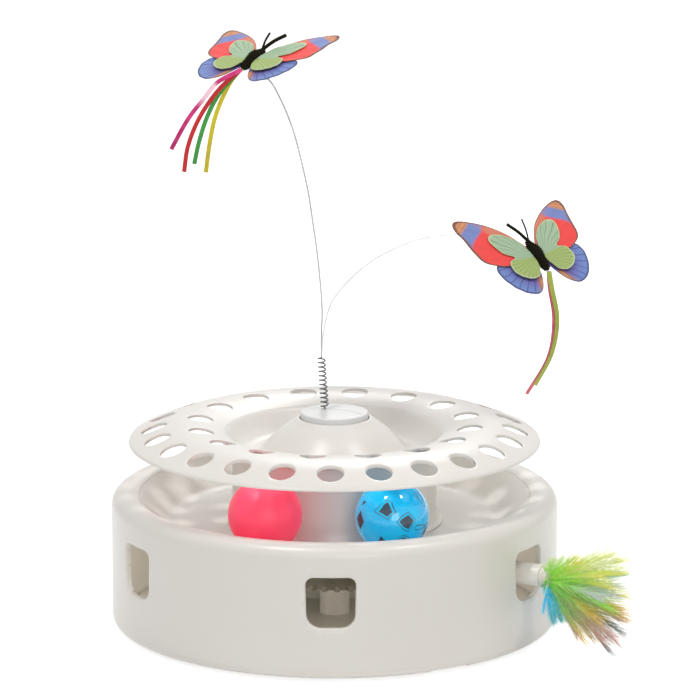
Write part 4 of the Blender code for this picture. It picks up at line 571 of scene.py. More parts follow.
def makeForewingLook():
    # red by the root, a periwinkle band across, a burnt tip, and a salmon front edge
    look, tree, shader, veins = startWing("forewingFilm", 11.0, 0.10, 2.0)
    angle = veins["Angle"]
    sway = times(tree, mathIn(tree, "SINE", times(tree, angle, 9.0)), 0.02)
    lean = mathIn(tree, "COSINE", mathIn(tree, "SUBTRACT", angle, 0.88))
    across = plus(tree, times(tree, veins["Reach"], lean), sway)
    colour = mixIn(tree, rangeIn(tree, across, 0.74, 0.79), (0.80, 0.045, 0.04), (0.155, 0.21, 0.48))
    colour = mixIn(tree, rangeIn(tree, across, 0.94, 0.98), colour, (0.62, 0.25, 0.11))
    bars = rangeIn(tree, mathIn(tree, "SINE", times(tree, across, 110.0)), 0.6, 0.95, 0.0, 0.55)
    bars = times(tree, bars, rangeIn(tree, across, 0.93, 0.99))
    colour = mixIn(tree, bars, colour, (0.20, 0.07, 0.04))
    front = times(tree, rangeIn(tree, plus(tree, angle, sway), 0.86, 0.96),
                  rangeIn(tree, across, 0.70, 0.80, 0.9, 0.25))
    colour = mixIn(tree, front, colour, (0.60, 0.20, 0.12))
    finishWing(tree, shader, veins, colour, (0.26, 0.06, 0.05), (0.16, 0.06, 0.035), 0.45)
    return look


def makeHindwingLook():
    look, tree, shader, veins = startWing("hindwingFilm", 17.0, 0.34, 1.5)
    bloom = rangeIn(tree, veins["Reach"], 0.34, 0.64)
    colour = mixIn(tree, bloom, (0.11, 0.07, 0.30), (0.13, 0.21, 0.50))
    tail = times(tree, rangeIn(tree, veins["Angle"], -1.22, -1.02, 1.0, 0.0),
                 rangeIn(tree, veins["Reach"], 0.24, 0.34))
    colour = mixIn(tree, tail, colour, (0.50, 0.20, 0.06))
    finishWing(tree, shader, veins, colour, (0.025, 0.03, 0.15), (0.05, 0.06, 0.18), 0.85)
    return look


def makeInnerWingLook():
    look, tree, shader, veins = startWing("innerWingFilm", 20.0, 0.32, 2.5)
    low = rangeIn(tree, veins["Angle"], 0.06, 0.20, 1.0, 0.0)
    colour = mixIn(tree, low, (0.32, 0.45, 0.29), (0.31, 0.41, 0.12))
    finishWing(tree, shader, veins, colour, (0.06, 0.11, 0.03), (0.46, 0.56, 0.30), 0.8)
    return look


boardGreen = makeBoardLook()
batterySleeve = makeBatteryLook()
ballBlue = makeBlueBallLook()
chenilleDark = makeChenilleLook()
forewingFilm = makeForewingLook()
hindwingFilm = makeHindwingLook()
innerWingFilm = makeInnerWingLook()
dyedFeather = makeFeatherLook()
foils = {
    "magenta": makeFoilLook("magentaFoil", (0.78, 0.05, 0.26), (0.38, 0.01, 0.10), (0.24, 0.62)),
    "red": makeFoilLook("redFoil", (0.60, 0.015, 0.02), (0.50, 0.03, 0.03)),
    "green": makeFoilLook("greenFoil", (0.05, 0.36, 0.05), (0.05, 0.26, 0.06)),
    "yellow": makeFoilLook("yellowFoil", (0.72, 0.58, 0.02), (0.50, 0.42, 0.03)),
    "lime": makeFoilLook("limeFoil", (0.34, 0.42, 0.06), (0.46, 0.48, 0.10)),
    "pink": makeFoilLook("pinkFoil", (0.62, 0.10, 0.16), (0.72, 0.22, 0.26)),
}
print("materials ready")


# camera, floor and light
cameraPlace = {"aim": (8.33, 0.0, 150.05), "distance": 2638.1, "elevation": 12.89, "lens": 253.7,
               "film": 36.0}
studio = {
    "floor": 24.0, "floorGlow": 0.7, "daylight": 0.44, "aim": (0, 0, 0.09),
    # each soft lamp's name, place, size and power
    "lamps": (("keyLamp", (-0.40, -0.35, 1.45), 0.16, 6.8), ("sideLamp", (0.55, -0.25, 1.3), 0.16, 3.9),
              ("frontLamp", (0.3, -1.7, 0.46), 0.7, 5.0), ("backLamp", (0.1, 1.0, 0.9), 0.4, 3.0)),
}
# the thin white walls and the disc let some light through, so the base and the channel glow softly
glows = {
    "insideGlow": {"kind": "POINT", "count": 6, "phase": -35, "radius": 84, "height": 15, "power": 0.022,
                   "settings": {"shadow_soft_size": 0.02, "color": (1.0, 0.96, 0.86)}},
    "discGlow": {"kind": "AREA", "count": 10, "phase": 8, "radius": 82, "height": 98, "power": 0.0026,
                 "settings": {"shape": "DISK", "size": 0.03}},
}


def makeCamera():
    up = radians(cameraPlace["elevation"])
    aim = Vector(cameraPlace["aim"]) * mm
    back = Vector((0, -cos(up), sin(up))) * cameraPlace["distance"] * mm
    bpy.ops.object.camera_add(location=aim + back, rotation=(pi / 2 - up, 0, 0))
    camera = bpy.context.object
    camera.data.lens = cameraPlace["lens"]
    camera.data.sensor_width = cameraPlace["film"]
    camera.data.clip_end = 100
    bpy.context.scene.camera = camera
    bpy.context.scene.view_settings.view_transform = "Standard"


def seenDirectly(tree):
    path = addNode(tree, "LightPath", {}).outputs
    seen = mathIn(tree, "MAXIMUM", path["Is Camera Ray"], path["Is Glossy Ray"])
    return mathIn(tree, "MAXIMUM", seen, path["Is Transmission Ray"])


def addLamp(kind, name, spot, power, settings):
    bpy.ops.object.light_add(type=kind, location=spot)
    lamp = bpy.context.object
    lamp.name = name
    for key, value in settings.items():
        setattr(lamp.data, key, value)
    lamp.data.energy = power
    return lamp


def makeStudio():
    deselectAll()
    bpy.ops.mesh.primitive_plane_add(size=studio["floor"], location=(0, 0, 0))
    floor = bpy.context.object
    floor.name = "studioFloor"
    look, tree, shader = startLook("paleFloor")
    feed(shader, {
        "Base Color": mixIn(tree, noiseIn(tree, placeIn(tree), 3.0), (0.86, 0.86, 0.86), (0.88, 0.88, 0.88)),
        "Roughness": 0.9,
        "Specular IOR Level": 0.1,
        "Emission Color": (1.0, 1.0, 1.0),
        "Emission Strength": times(tree, seenDirectly(tree), studio["floorGlow"]),
    })
    floor.data.materials.append(look)

    world = bpy.context.scene.world or bpy.data.worlds.new("studio")
    bpy.context.scene.world = world
    world.use_nodes = True
    tree = world.node_tree
    light = rangeIn(tree, seenDirectly(tree), 0.0, 1.0, studio["daylight"], 1.0, "LINEAR")
    feed(tree.nodes["Background"], {"Color": (1.0, 1.0, 1.0), "Strength": light})

    for name, spot, size, power in studio["lamps"]:
        lamp = addLamp("AREA", name, spot, power, {"size": size})
        way = Vector(studio["aim"]) - Vector(spot)
        lamp.rotation_euler = way.to_track_quat("-Z", "Y").to_euler()
    for name, glow in glows.items():
        for index in range(glow["count"]):
            bearing = glow["phase"] + index * 360 / glow["count"]
            spot = atBearing(bearing, glow["radius"] * mm, glow["height"] * mm)
            lamp = addLamp(glow["kind"], "%s%d" % (name, index + 1), spot, glow["power"], glow["settings"])
            lamp.visible_camera = False
            lamp.visible_glossy = False


makeCamera()
makeStudio()
print("camera, floor and light ready")


# outer housing
housing = {
    "radius": 120.0, "wall": 3.0, "clearance": 2.0, "footFillet": (4.4, 5.0), "lip": 2.7,
    "shoulder": 66.5, "crest": (112.5, 73.4), "bowlEdge": (105.3, 71.3), "bowlSlope": 39.5, "segments": 288,
}
window = {
    "count": 6, "phase": -0.8, "width": 27.0, "foot": 25.6, "sill": 29.5, "head": 56.7,
    "headCorner": 4.5, "footCorner": 7.4, "edge": 0.9, "edgeSteps": 4, "cutStart": 2.0, "cutDepth": 8.0,
}
notch = {"bearing": 31.0, "width": 24.0, "length": 14.0, "height": 1.5, "edge": 0.7}


def windowCutter():
    # a flat outline is rounded, drawn in at the wall's face, pushed through and wrapped round
    deselectAll()
    edge = window["edge"]
    middle = (window["sill"] + window["head"]) / 2
    tall = window["head"] - window["sill"] + 2 * edge
    outside = housing["radius"] + window["cutStart"]
    bpy.ops.mesh.primitive_plane_add(size=mm, location=(0, -outside * mm, middle * mm),
                                     rotation=(pi / 2, 0, 0))
    cutter = bpy.context.object
    cutter.scale = (window["width"] + 2 * edge, tall, 1)
    settle(cutter)
    bpy.ops.object.mode_set(mode="EDIT")
    net = bmesh.from_edit_mesh(cutter.data)
    for vert in net.verts:
        if vert.co.z < middle * mm:
            vert.co.x *= window["foot"] / window["width"]
    for corner, low in (("headCorner", False), ("footCorner", True)):
        bpy.ops.mesh.select_mode(type="VERT")
        bpy.ops.mesh.select_all(action="DESELECT")
        net = bmesh.from_edit_mesh(cutter.data)
        for vert in net.verts:
            fromMiddle = abs(vert.co.z - middle * mm)
            if (vert.co.z < middle * mm) == low and abs(fromMiddle - tall * mm / 2) < 0.01 * mm:
                vert.select_set(True)
        bmesh.update_edit_mesh(cutter.data)
        bpy.ops.mesh.bevel(offset=(window[corner] + edge) * mm, segments=8, affect="VERTICES", profile=0.5)
    selectEdges(cutter, lambda a, b: (a - b).length > 8 * mm)
    bpy.ops.mesh.subdivide(number_cuts=12)
    bpy.ops.mesh.select_all(action="SELECT")
    bpy.ops.mesh.normals_make_consistent(inside=False)
    bpy.ops.mesh.select_mode(type="FACE")
    bpy.ops.mesh.select_all(action="SELECT")
    bpy.ops.mesh.extrude_region_move(TRANSFORM_OT_translate={"value": (0, window["cutStart"] * mm, 0)})
    depth = 0.0
    inset = 0.0
    for step in range(1, window["edgeSteps"] + 1):
        turn = pi / 2 * step / window["edgeSteps"]
        drawn, gone = edge * sin(turn), edge * (1 - cos(turn))
        bpy.ops.mesh.inset(thickness=(drawn - inset) * mm, depth=0, use_boundary=True)
        bpy.ops.transform.translate(value=(0, (gone - depth) * mm, 0))
        inset, depth = drawn, gone
    bpy.ops.mesh.extrude_region_move(TRANSFORM_OT_translate={"value": (0, window["cutDepth"] * mm, 0)})
    bpy.ops.object.mode_set(mode="OBJECT")
    for vert in cutter.data.vertices:
        x, y, z = vert.co
        turn = x / (housing["radius"] * mm)
        vert.co = (-y * sin(turn), y * cos(turn), z)
    closeUp(cutter)
    return cutter


def makeHousing():
    crestRadius, crestHeight = housing["crest"]
    radius, wall, clearance, shoulder = [housing[key] for key in ("radius", "wall", "clearance", "shoulder")]
    wide, tall = housing["footFillet"]
    edgeRadius, edgeHeight = housing["bowlEdge"]
    knee = edgeRadius + (crestHeight - edgeHeight) / tan(radians(housing["bowlSlope"]))
    foot, inner = clearance + tall, radius - wall
    rings = arcRings((crestRadius, shoulder), (radius - crestRadius, crestHeight - shoulder), 90, 0, 16)
    rings += [(radius, shoulder + (foot - shoulder) * step / 24) for step in range(1, 24)]
    rings += arcRings((radius - wide, foot), (wide, tall), 0, -90, 8)
    rings += [(radius - wide - housing["lip"], clearance)]
    rings += [(inner, foot + (shoulder - foot) * step / 8) for step in range(8)]
    rings += arcRings((crestRadius, shoulder - wall / 2), (inner - crestRadius, wall * 1.8), 0, 90, 8)
    rings += [(edgeRadius, edgeHeight - wall), (edgeRadius, edgeHeight - 0.4)]
    for step in range(9):
        t = step / 8
        rings.append((edgeRadius * (1 - t) ** 2 + 2 * knee * t * (1 - t) + crestRadius * t ** 2,
                      edgeHeight * (1 - t) ** 2 + 2 * crestHeight * t * (1 - t) + crestHeight * t ** 2))
    piece = turnedPiece("housing", rings, housing["segments"])
    one = windowCutter()
    turns = [radians(window["phase"] + index * 360 / window["count"]) for index in range(window["count"])]
    cutters = [copyOf(one, Matrix.Rotation(turn, 4, "Z")) for turn in turns]
    remove(one)
    cutWith(piece, joinAll(cutters))
    deselectAll()
    spot = atBearing(notch["bearing"], (radius - wide) * mm, clearance * mm)
    bpy.ops.mesh.primitive_cube_add(size=1, location=spot, rotation=(0, 0, radians(notch["bearing"])))
    cutter = bpy.context.object
    cutter.scale = (notch["width"] * mm, notch["length"] * mm, 2 * notch["height"] * mm)
    settle(cutter)
    applyModifier(cutter, "BEVEL", width=notch["edge"] * mm, segments=3)
    cutWith(piece, cutter)
    applyModifier(piece, "WEIGHTED_NORMAL", keep_sharp=True)
    dress(piece, warmWhite, "base", ["outer_housing"], 28)


makeHousing()
print("housing ready")


# ball track
track = {
    "edge": (105.29, 71.29), "flat": 84.0, "floor": 57.3, "fillet": 13.0, "slope": 39.5, "wall": 3.0,
    "bore": 2.1, "under": 54.0, "segments": 256,
}


def makeTrack():
    flat, floor, fillet, wall = track["flat"], track["floor"], track["fillet"], track["wall"]
    bend = arcRings((flat, floor + fillet), (fillet, fillet), -90, track["slope"] - 90, 12)
    endRadius, endHeight = bend[-1]
    edgeRadius, edgeHeight = track["edge"]
    slope = radians(track["slope"])
    rings = [(track["bore"], floor), (track["under"], floor)] + bend
    rings += [(edgeRadius - 0.25, edgeHeight - 0.1), (edgeRadius, edgeHeight - 0.35),
              (edgeRadius, edgeHeight - wall)]
    rings += [(endRadius + wall * sin(slope), endHeight - wall * cos(slope)), (flat, floor - wall),
              (track["bore"], floor - wall), (track["bore"], floor)]
    piece = turnedPiece("ballTrack", rings, track["segments"])
    dress(piece, warmWhite, "base", ["ball_track"], 35)


makeTrack()


# tower with its dish, dome and collar
tower = {
    "foot": (58.6, 57.6), "column": 55.0, "flareTop": 64.8, "neck": 97.2, "wall": 2.0,
    "ledge": (61.6, 103.68), "ledgeThickness": 1.6, "segments": 224,
    "lip": ((59.0, 105.4), (59.0, 105.96), (58.6, 105.74), (58.1, 105.4), (57.6, 104.96)),
    "dish": ((57.0, 104.3), (54.9, 101.4), (52.2, 98.2), (48.8, 95.8), (45.4, 94.7), (42.0, 95.0),
             (38.8, 96.9), (34.8, 101.0), (28.5, 106.8), (22.6, 111.1), (20.3, 112.9)),
    "collar": (18.7, 113.3), "collarFloor": 105.8, "bore": 2.1,
}


def makeTower():
    footRadius, footHeight = tower["foot"]
    column, flareTop = tower["column"], tower["flareTop"]
    rings = [(footRadius, footHeight)]
    rings += arcRings((footRadius, flareTop), (footRadius - column, flareTop - footHeight - 0.2), 268, 180, 8)
    ledgeRadius, ledgeTop = tower["ledge"]
    outer = tower["lip"][0][0]
    under = ledgeTop - tower["ledgeThickness"]
    rings += [(column, tower["neck"] - 1.2), (column + 0.35, tower["neck"] + 0.2), (outer, under - 2.6)]
    rings += [(ledgeRadius, under), (ledgeRadius, ledgeTop), (outer, ledgeTop)] + list(tower["lip"])
    rings += [tuple(point) for point in curveThrough(tower["dish"], 5)]
    collarRadius, collarTop = tower["collar"]
    rings += arcRings((collarRadius + 0.7, collarTop - 0.5), (0.7, 0.5), 70, 180, 4)
    floor = tower["collarFloor"]
    rings += [(collarRadius, floor), (tower["bore"], floor), (tower["bore"], floor - tower["wall"])]
    inside = [(radius - 1.0, height - tower["wall"]) for radius, height in tower["dish"][3:9]]
    rings += [(collarRadius, floor - tower["wall"])] + inside[::-1]
    rings += [(column - tower["wall"], tower["neck"] - 3.4), (column - tower["wall"], footHeight), rings[0]]
    piece = turnedPiece("tower", rings, tower["segments"])
    dress(piece, warmWhite, "base", ["tower"], 40)


makeTower()
print("track and tower ready")


# perforated disc
disc = {
    "inner": 59.05, "outer": 110.5, "plate": 1.7, "crownRadius": 79.0, "crownHeight": 110.4,
    "crownCurve": 48.0, "brim": 97.0, "hole": 7.0, "holeEdge": 0.35, "segments": 300, "steps": 24,
    "rows": ((24, 97.0, -1.08), (16, 73.0, 13.89)),  # how many holes, their circle and their bearing
}


def discCurve(radius):
    # how far out from the crown's top a radius lies, and the height there over the curve's centre
    reach = min(radius, disc["brim"]) - disc["crownRadius"]
    return reach, sqrt(disc["crownCurve"] ** 2 - reach ** 2)


def discTop(radius):
    reach, rise = discCurve(radius)
    return disc["crownHeight"] - (disc["crownCurve"] - rise) - reach / rise * max(radius - disc["brim"], 0)


def discLean(radius):
    reach, rise = discCurve(radius)
    return reach / rise


def holeCutter():
    # one round cutter with a flared mouth; its heights count from the plate's upper face
    bore = disc["hole"]
    mouth = bore + disc["holeEdge"]
    rings = [(mouth, 3.0), (mouth, 0.02), (bore + 0.1, -0.1), (bore, -0.4), (bore, -5.0)]
    return turnedPiece("holeCutter", rings, 48, closed=False)


def makeDisc():
    inner, outer, plate = disc["inner"], disc["outer"], disc["plate"]
    half = plate / 2
    radii = [inner + (outer - 1 - inner) * step / disc["steps"] for step in range(disc["steps"] + 1)]
    rings = [(radius, discTop(radius)) for radius in radii]
    lean = discLean(outer)
    edgeMiddle = discTop(outer - 1) - half
    for step in range(1, 6):
        turn = pi / 2 - pi * step / 6
        rings.append((outer - 1 + cos(turn), edgeMiddle + half * sin(turn) - lean * cos(turn)))
    rings += [(radius, discTop(radius) - plate * sqrt(1 + discLean(radius) ** 2))
              for radius in reversed(radii)]
    rings.append(rings[0])
    piece = turnedPiece("perforatedDisc", rings, disc["segments"])
    one = holeCutter()
    cutters = []
    for count, circle, phase in disc["rows"]:
        for index in range(count):
            spot = atBearing(phase + index * 360 / count, circle * mm)
            cutter = copyOf(one, Matrix.Translation(spot))
            for vert in cutter.data.vertices:
                vert.co.z += discTop(hypot(vert.co.x, vert.co.y) / mm) * mm
            cutters.append(cutter)
    remove(one)
    cutWith(piece, joinAll(cutters))
    applyModifier(piece, "WEIGHTED_NORMAL", keep_sharp=True)
    dress(piece, warmWhite, "base", ["perforated_disc"], 30)


makeDisc()
print("disc ready")


# rotor cap and spring
cap = {"radius": 18.2, "top": 116.35, "edge": 1.0, "skirt": 106.7, "wall": 1.8, "plate": 2.5, "segments": 128}
groove = {"width": 0.9, "depth": 0.35, "radius": 22.0}
spring = {"foot": (-5.2, 5.0), "lean": -1.8, "wire": 0.45, "coil": 1.85, "pitch": 2.4, "turns": 11.5,
          "leg": 1.0, "socket": 0.75, "socketDepth": 1.7, "inCap": 1.4, "stepsPerTurn": 24}
coilTop = cap["top"] + spring["leg"] + spring["turns"] * spring["pitch"]


def makeCap():
    radius, top, edge = cap["radius"], cap["top"], cap["edge"]
    rings = [(0.2, top)] + arcRings((radius - edge, top - edge), (edge, edge), 90, 0, 6)
    rings += [(radius, cap["skirt"]), (radius - cap["wall"], cap["skirt"]),
              (radius - cap["wall"], top - cap["plate"]), (0.2, top - cap["plate"])]
    piece = turnedPiece("rotorCap", rings, cap["segments"], closed=False)
    footX, footY = spring["foot"]
    centre = Vector((footX, footY + spring["coil"] - groove["radius"] - 2 * groove["width"]))
    route = []
    for x, y in arcRings(centre, (groove["radius"], groove["radius"]), 84, 22, 30):
        if hypot(x, y) < radius - edge - groove["width"]:
            route.append(Vector((x, y, top + groove["width"] / 2 - groove["depth"])) * mm)
    cutWith(piece, tubeAlong("capGroove", route, groove["width"] / 2 * mm, 4))
    socket = turnedPiece("springSocket", [(spring["socket"], top + 2),
                                          (spring["socket"], top - spring["socketDepth"])], 24, closed=False)
    socket.data.transform(Matrix.Translation((footX * mm, (footY + spring["coil"]) * mm, 0)))
    cutWith(piece, socket)
    dress(piece, capWhite, "rotor", ["rotor_cap"], 30)


def makeSpring():
    footX, footY = spring["foot"]
    base = cap["top"] + spring["leg"]
    tall = spring["turns"] * spring["pitch"]
    coil = spring["coil"]
    route = [Vector((footX, footY + coil, height))
             for height in (cap["top"] - spring["inCap"], base - spring["pitch"] / 4)]
    steps = ceil(spring["turns"] * spring["stepsPerTurn"])
    for step in range(steps + 1):
        share = step / steps
        turn = pi / 2 + 2 * pi * spring["turns"] * share
        route.append(Vector((footX + spring["lean"] * share + coil * cos(turn), footY + coil * sin(turn),
                             base + tall * share)))
    route.append(route[-1] + Vector((0, 0, 2 * spring["wire"])))
    piece = tubeAlong("springCoil", [place * mm for place in route], spring["wire"] * mm, 4)
    dress(piece, springSteel, "spring", ["spring_coil"], 60)
    return route[-1]


makeCap()
springEnd = makeSpring()
print("cap and spring ready")


# butterflies on their wires
wing = {"length": 40.0, "film": 0.36, "layer": 0.85, "ripple": 0.10, "ripples": 26, "rootShare": 0.03,
        "columns": 72, "rows": 12}
trunk = {"radius": 3.1, "length": 22.0}
wire = {"radius": 0.45, "neck": 3.0, "gap": 0.3}
ribbon = {"film": 0.4, "gap": 0.3, "layer": 0.9, "cup": 0.12, "edge": 0.08}
# wire shares are of the way from the spring's top to the body, right, ahead and up;
# sides are the stretch of each side's forewing and the curl of its wings
butterflies = {
    "tall": {
        "wireLook": wandSteel, "above": (-43.4, 0.4, 190.55), "right": (0.801, -0.594, 0.076),
        "forward": (0.542, 0.774, 0.328), "turned": 0.0, "taper": 0.0, "width": 2.3,
        "wireShares": ((0.00, 0.00, 0.07), (-0.01, 0.09, 0.17), (0.05, 0.22, 0.33), (0.12, 0.35, 0.45),
                       (0.20, 0.48, 0.57), (0.35, 0.70, 0.72), (0.46, 0.78, 0.80), (0.59, 0.89, 0.87),
                       (0.74, 0.98, 0.93)),
        "streamers": (("magenta", 44.2), ("red", 56.4), ("green", 52.2), ("yellow", 57.6)),
        "sides": {"left": (1.0, 0.8), "right": (1.0, -0.4)}, "feelers": (0.55, 0.95),
        "antennaTips": ((-2.3, 22.4, 4.6), (9.9, 20.8, 4.6)),
    },
    "low": {
        "wireLook": paleSteel, "above": (108.7, -0.3, 84.55), "right": (0.813, 0.582, 0.025),
        "forward": (-0.453, 0.604, 0.656), "turned": 6.0, "taper": 0.3, "width": 2.7,
        "wireShares": ((0.01, 0.04, 0.24), (0.04, 0.09, 0.50), (0.10, 0.18, 0.69), (0.20, 0.29, 0.89),
                       (0.31, 0.43, 1.04), (0.45, 0.59, 1.16), (0.60, 0.76, 1.21), (0.75, 0.85, 1.18),
                       (0.89, 0.90, 1.07)),
        "streamers": (("lime", 62.0), ("pink", 67.0)),
        "sides": {"left": (1.07, 2.4), "right": (0.98, 0.1)}, "feelers": (0.85, 0.4),
        "antennaTips": ((-9.0, 22.0, 4.8), (1.4, 22.2, 5.4)),
    },
}
# how each streamer hangs, in shares of its fall
hangShares = {
    "magenta": ((-0.28, -0.01, -0.15), (-0.44, -0.02, -0.34), (-0.64, -0.02, -0.60), (-0.84, -0.02, -0.96)),
    "red": ((-0.21, -0.01, -0.19), (-0.39, -0.02, -0.45), (-0.50, -0.02, -0.72), (-0.54, -0.02, -0.97)),
    "green": ((-0.21, -0.01, -0.23), (-0.34, -0.02, -0.47), (-0.43, -0.02, -0.74), (-0.48, -0.02, -0.97)),
    "yellow": ((-0.11, -0.01, -0.14), (-0.23, -0.02, -0.41), (-0.29, -0.02, -0.67), (-0.33, -0.02, -0.96)),
    "lime": ((0.025, -0.01, -0.14), (0.075, -0.01, -0.42), (0.03, -0.01, -0.72), (-0.11, -0.01, -1.00)),
    "pink": ((0.01, -0.01, -0.14), (0.045, -0.01, -0.40), (0.00, -0.01, -0.70), (-0.17, -0.01, -1.00)),
}
wingShapes = {
    "forewing": {
        "layer": 0, "root": (0.0, 0.09), "look": forewingFilm, "slot": "forewing_film",
        "outline": ((0.00, 0.02), (0.00, 0.20), (0.20, 0.49), (0.45, 0.67), (0.68, 0.765), (0.825, 0.77),
                    (0.87, 0.67), (0.83, 0.50), (0.805, 0.32), (0.765, 0.16), (0.65, 0.06), (0.42, -0.01)),
    },
    "hindwing": {
        "layer": -1, "root": (0.0, -0.06), "look": hindwingFilm, "slot": "hindwing_film",
        "outline": ((0.00, 0.02), (0.38, 0.08), (0.60, 0.06), (0.675, -0.04), (0.66, -0.19), (0.575, -0.36),
                    (0.44, -0.49), (0.27, -0.53), (0.13, -0.42), (0.02, -0.20)),
    },
    "inner_wing": {
        "layer": 1, "root": (0.0, 0.0), "look": innerWingFilm, "slot": "inner_wing_film",
        "outline": ((0.00, 0.06), (0.07, 0.28), (0.22, 0.43), (0.40, 0.50), (0.51, 0.46), (0.50, 0.33),
                    (0.42, 0.18), (0.29, 0.08), (0.42, 0.02), (0.45, -0.13), (0.36, -0.25), (0.22, -0.31),
                    (0.09, -0.27), (0.02, -0.14), (0.00, -0.06)),
    },
}


def butterflyFrame(butterfly):
    right = Vector(butterfly["right"]).normalized()
    forward = Vector(butterfly["forward"])
    forward = (forward - right * forward.dot(right)).normalized()
    turn = Matrix((right, forward, right.cross(forward))).transposed().to_4x4()
    turn = turn @ Matrix.Rotation(radians(butterfly["turned"]), 4, "Z")
    centre = Vector((0, 0, cap["top"])) + Vector(butterfly["above"])
    return Matrix.Translation(centre * mm) @ turn


def outlinePoints(shares, count):
    # evenly spread points round a closed smooth outline
    loop = [Vector(share) for share in shares]
    around = curveThrough([loop[-1]] + loop + [loop[0], loop[1]], 16)[16:-16]
    lengths = [0.0]
    for first, second in zip(around, around[1:]):
        lengths.append(lengths[-1] + (second - first).length)
    points = []
    index = 0
    for step in range(count):
        goal = lengths[-1] * step / (count - 1)
        while index < len(lengths) - 2 and lengths[index + 1] < goal:
            index += 1
        part = (goal - lengths[index]) / max(lengths[index + 1] - lengths[index], 1e-9)
        place = around[index].lerp(around[index + 1], part)
        points.append(Vector((max(place.x, 0.0), place.y)))
    return points


def makeWing(name, kind, side, stretch, curl, place):
    # a flat grid is fitted to the outline, its columns running out from the root
    shape = wingShapes[kind]
    span = wing["length"] * (stretch if kind == "forewing" else 1.0)
    deselectAll()
    columns, rows = wing["columns"], wing["rows"]
    bpy.ops.mesh.primitive_grid_add(x_subdivisions=columns, y_subdivisions=rows, size=1)
    piece = bpy.context.object
    piece.name = "%s_%sFilm" % (name, kind)
    outline = outlinePoints(shape["outline"], columns + 1)
    root = Vector(shape["root"])
    chart = piece.data.uv_layers.new(name="wingMap")
    piece.data.uv_layers.active = chart
    edgeShare = piece.data.attributes.new("edgeShare", "FLOAT", "POINT")
    flat = []
    for vert in piece.data.vertices:
        column = round((vert.co.x + 0.5) * columns)
        out = vert.co.y + 0.5
        share = wing["rootShare"] + (1 - wing["rootShare"]) * out
        flat.append((root.lerp(outline[column], share), out))
    for loop in piece.data.loops:
        spot = flat[loop.vertex_index][0]
        chart.data[loop.index].uv = (spot.x, spot.y)
    for vert, (spot, out) in zip(piece.data.vertices, flat):
        lift = curl * spot.length ** 2 + wing["ripple"] * out * sin(atan2(spot.y, spot.x) * wing["ripples"])
        vert.co = (side * spot.x * span * mm, spot.y * span * mm,
                   (shape["layer"] * wing["layer"] + lift) * mm)
        edgeShare.data[vert.index].value = out
    closeUp(piece, 0.05 * mm)
    applyModifier(piece, "SOLIDIFY", thickness=wing["film"] * mm, offset=0)
    piece.data.transform(place @ Matrix.Translation((side * (trunk["radius"] + wire["gap"]) * mm, 0, 0)))
    dress(piece, shape["look"], name + "_wing", ["%s_%s" % (name, kind)], 40)


def makeHair(width, cuts, bend):
    # one three-sided hair, a millimetre long, modelled once and planted many times
    deselectAll()
    bpy.ops.mesh.primitive_cone_add(vertices=3, radius1=width * mm, radius2=0.01 * mm, depth=mm,
                                    location=(0, 0, mm / 2))
    hair = bpy.context.object
    hair.name = "hair"
    settle(hair)
    bpy.ops.object.mode_set(mode="EDIT")
    for share in cuts:
        bpy.ops.mesh.select_all(action="SELECT")
        bpy.ops.mesh.bisect(plane_co=(0, 0, share * mm), plane_no=(0, 0, 1))
    bpy.ops.object.mode_set(mode="OBJECT")
    for vert in hair.data.vertices:
        vert.co.x += bend * (vert.co.z / mm) ** 2 * mm
    return hair


def plantHairs(name, hair, plants):
    # each plant is where a hair goes, and its colour at the root and at the tip
    net = bmesh.new()
    paint = net.verts.layers.float_color.new("dye")
    for place, near, far in plants:
        before = len(net.verts)
        net.from_mesh(hair.data)
        net.verts.ensure_lookup_table()
        for vert in net.verts[before:]:
            along = vert.co.z / mm
            vert[paint] = (*[a + (b - a) * along for a, b in zip(near, far)], 1.0)
            vert.co = place @ vert.co
    remove(hair)
    mesh = bpy.data.meshes.new(name)
    net.to_mesh(mesh)
    net.free()
    piece = addToScene(bpy.data.objects.new(name, mesh))
    closeUp(piece, 0.0001 * mm)
    return piece


fluff = {"core": 3.15, "along": 1.2, "hairs": 1500, "length": (0.5, 1.2), "width": 0.17, "feelerHairs": 170,
         "feelerLength": (0.2, 0.6), "dark": (0.008, 0.007, 0.003), "light": (0.045, 0.036, 0.014)}


def paintDark(piece):
    paint = piece.data.attributes.new("dye", "FLOAT_COLOR", "POINT")
    for spot in paint.data:
        spot.color = (*fluff["dark"], 1.0)
    return piece


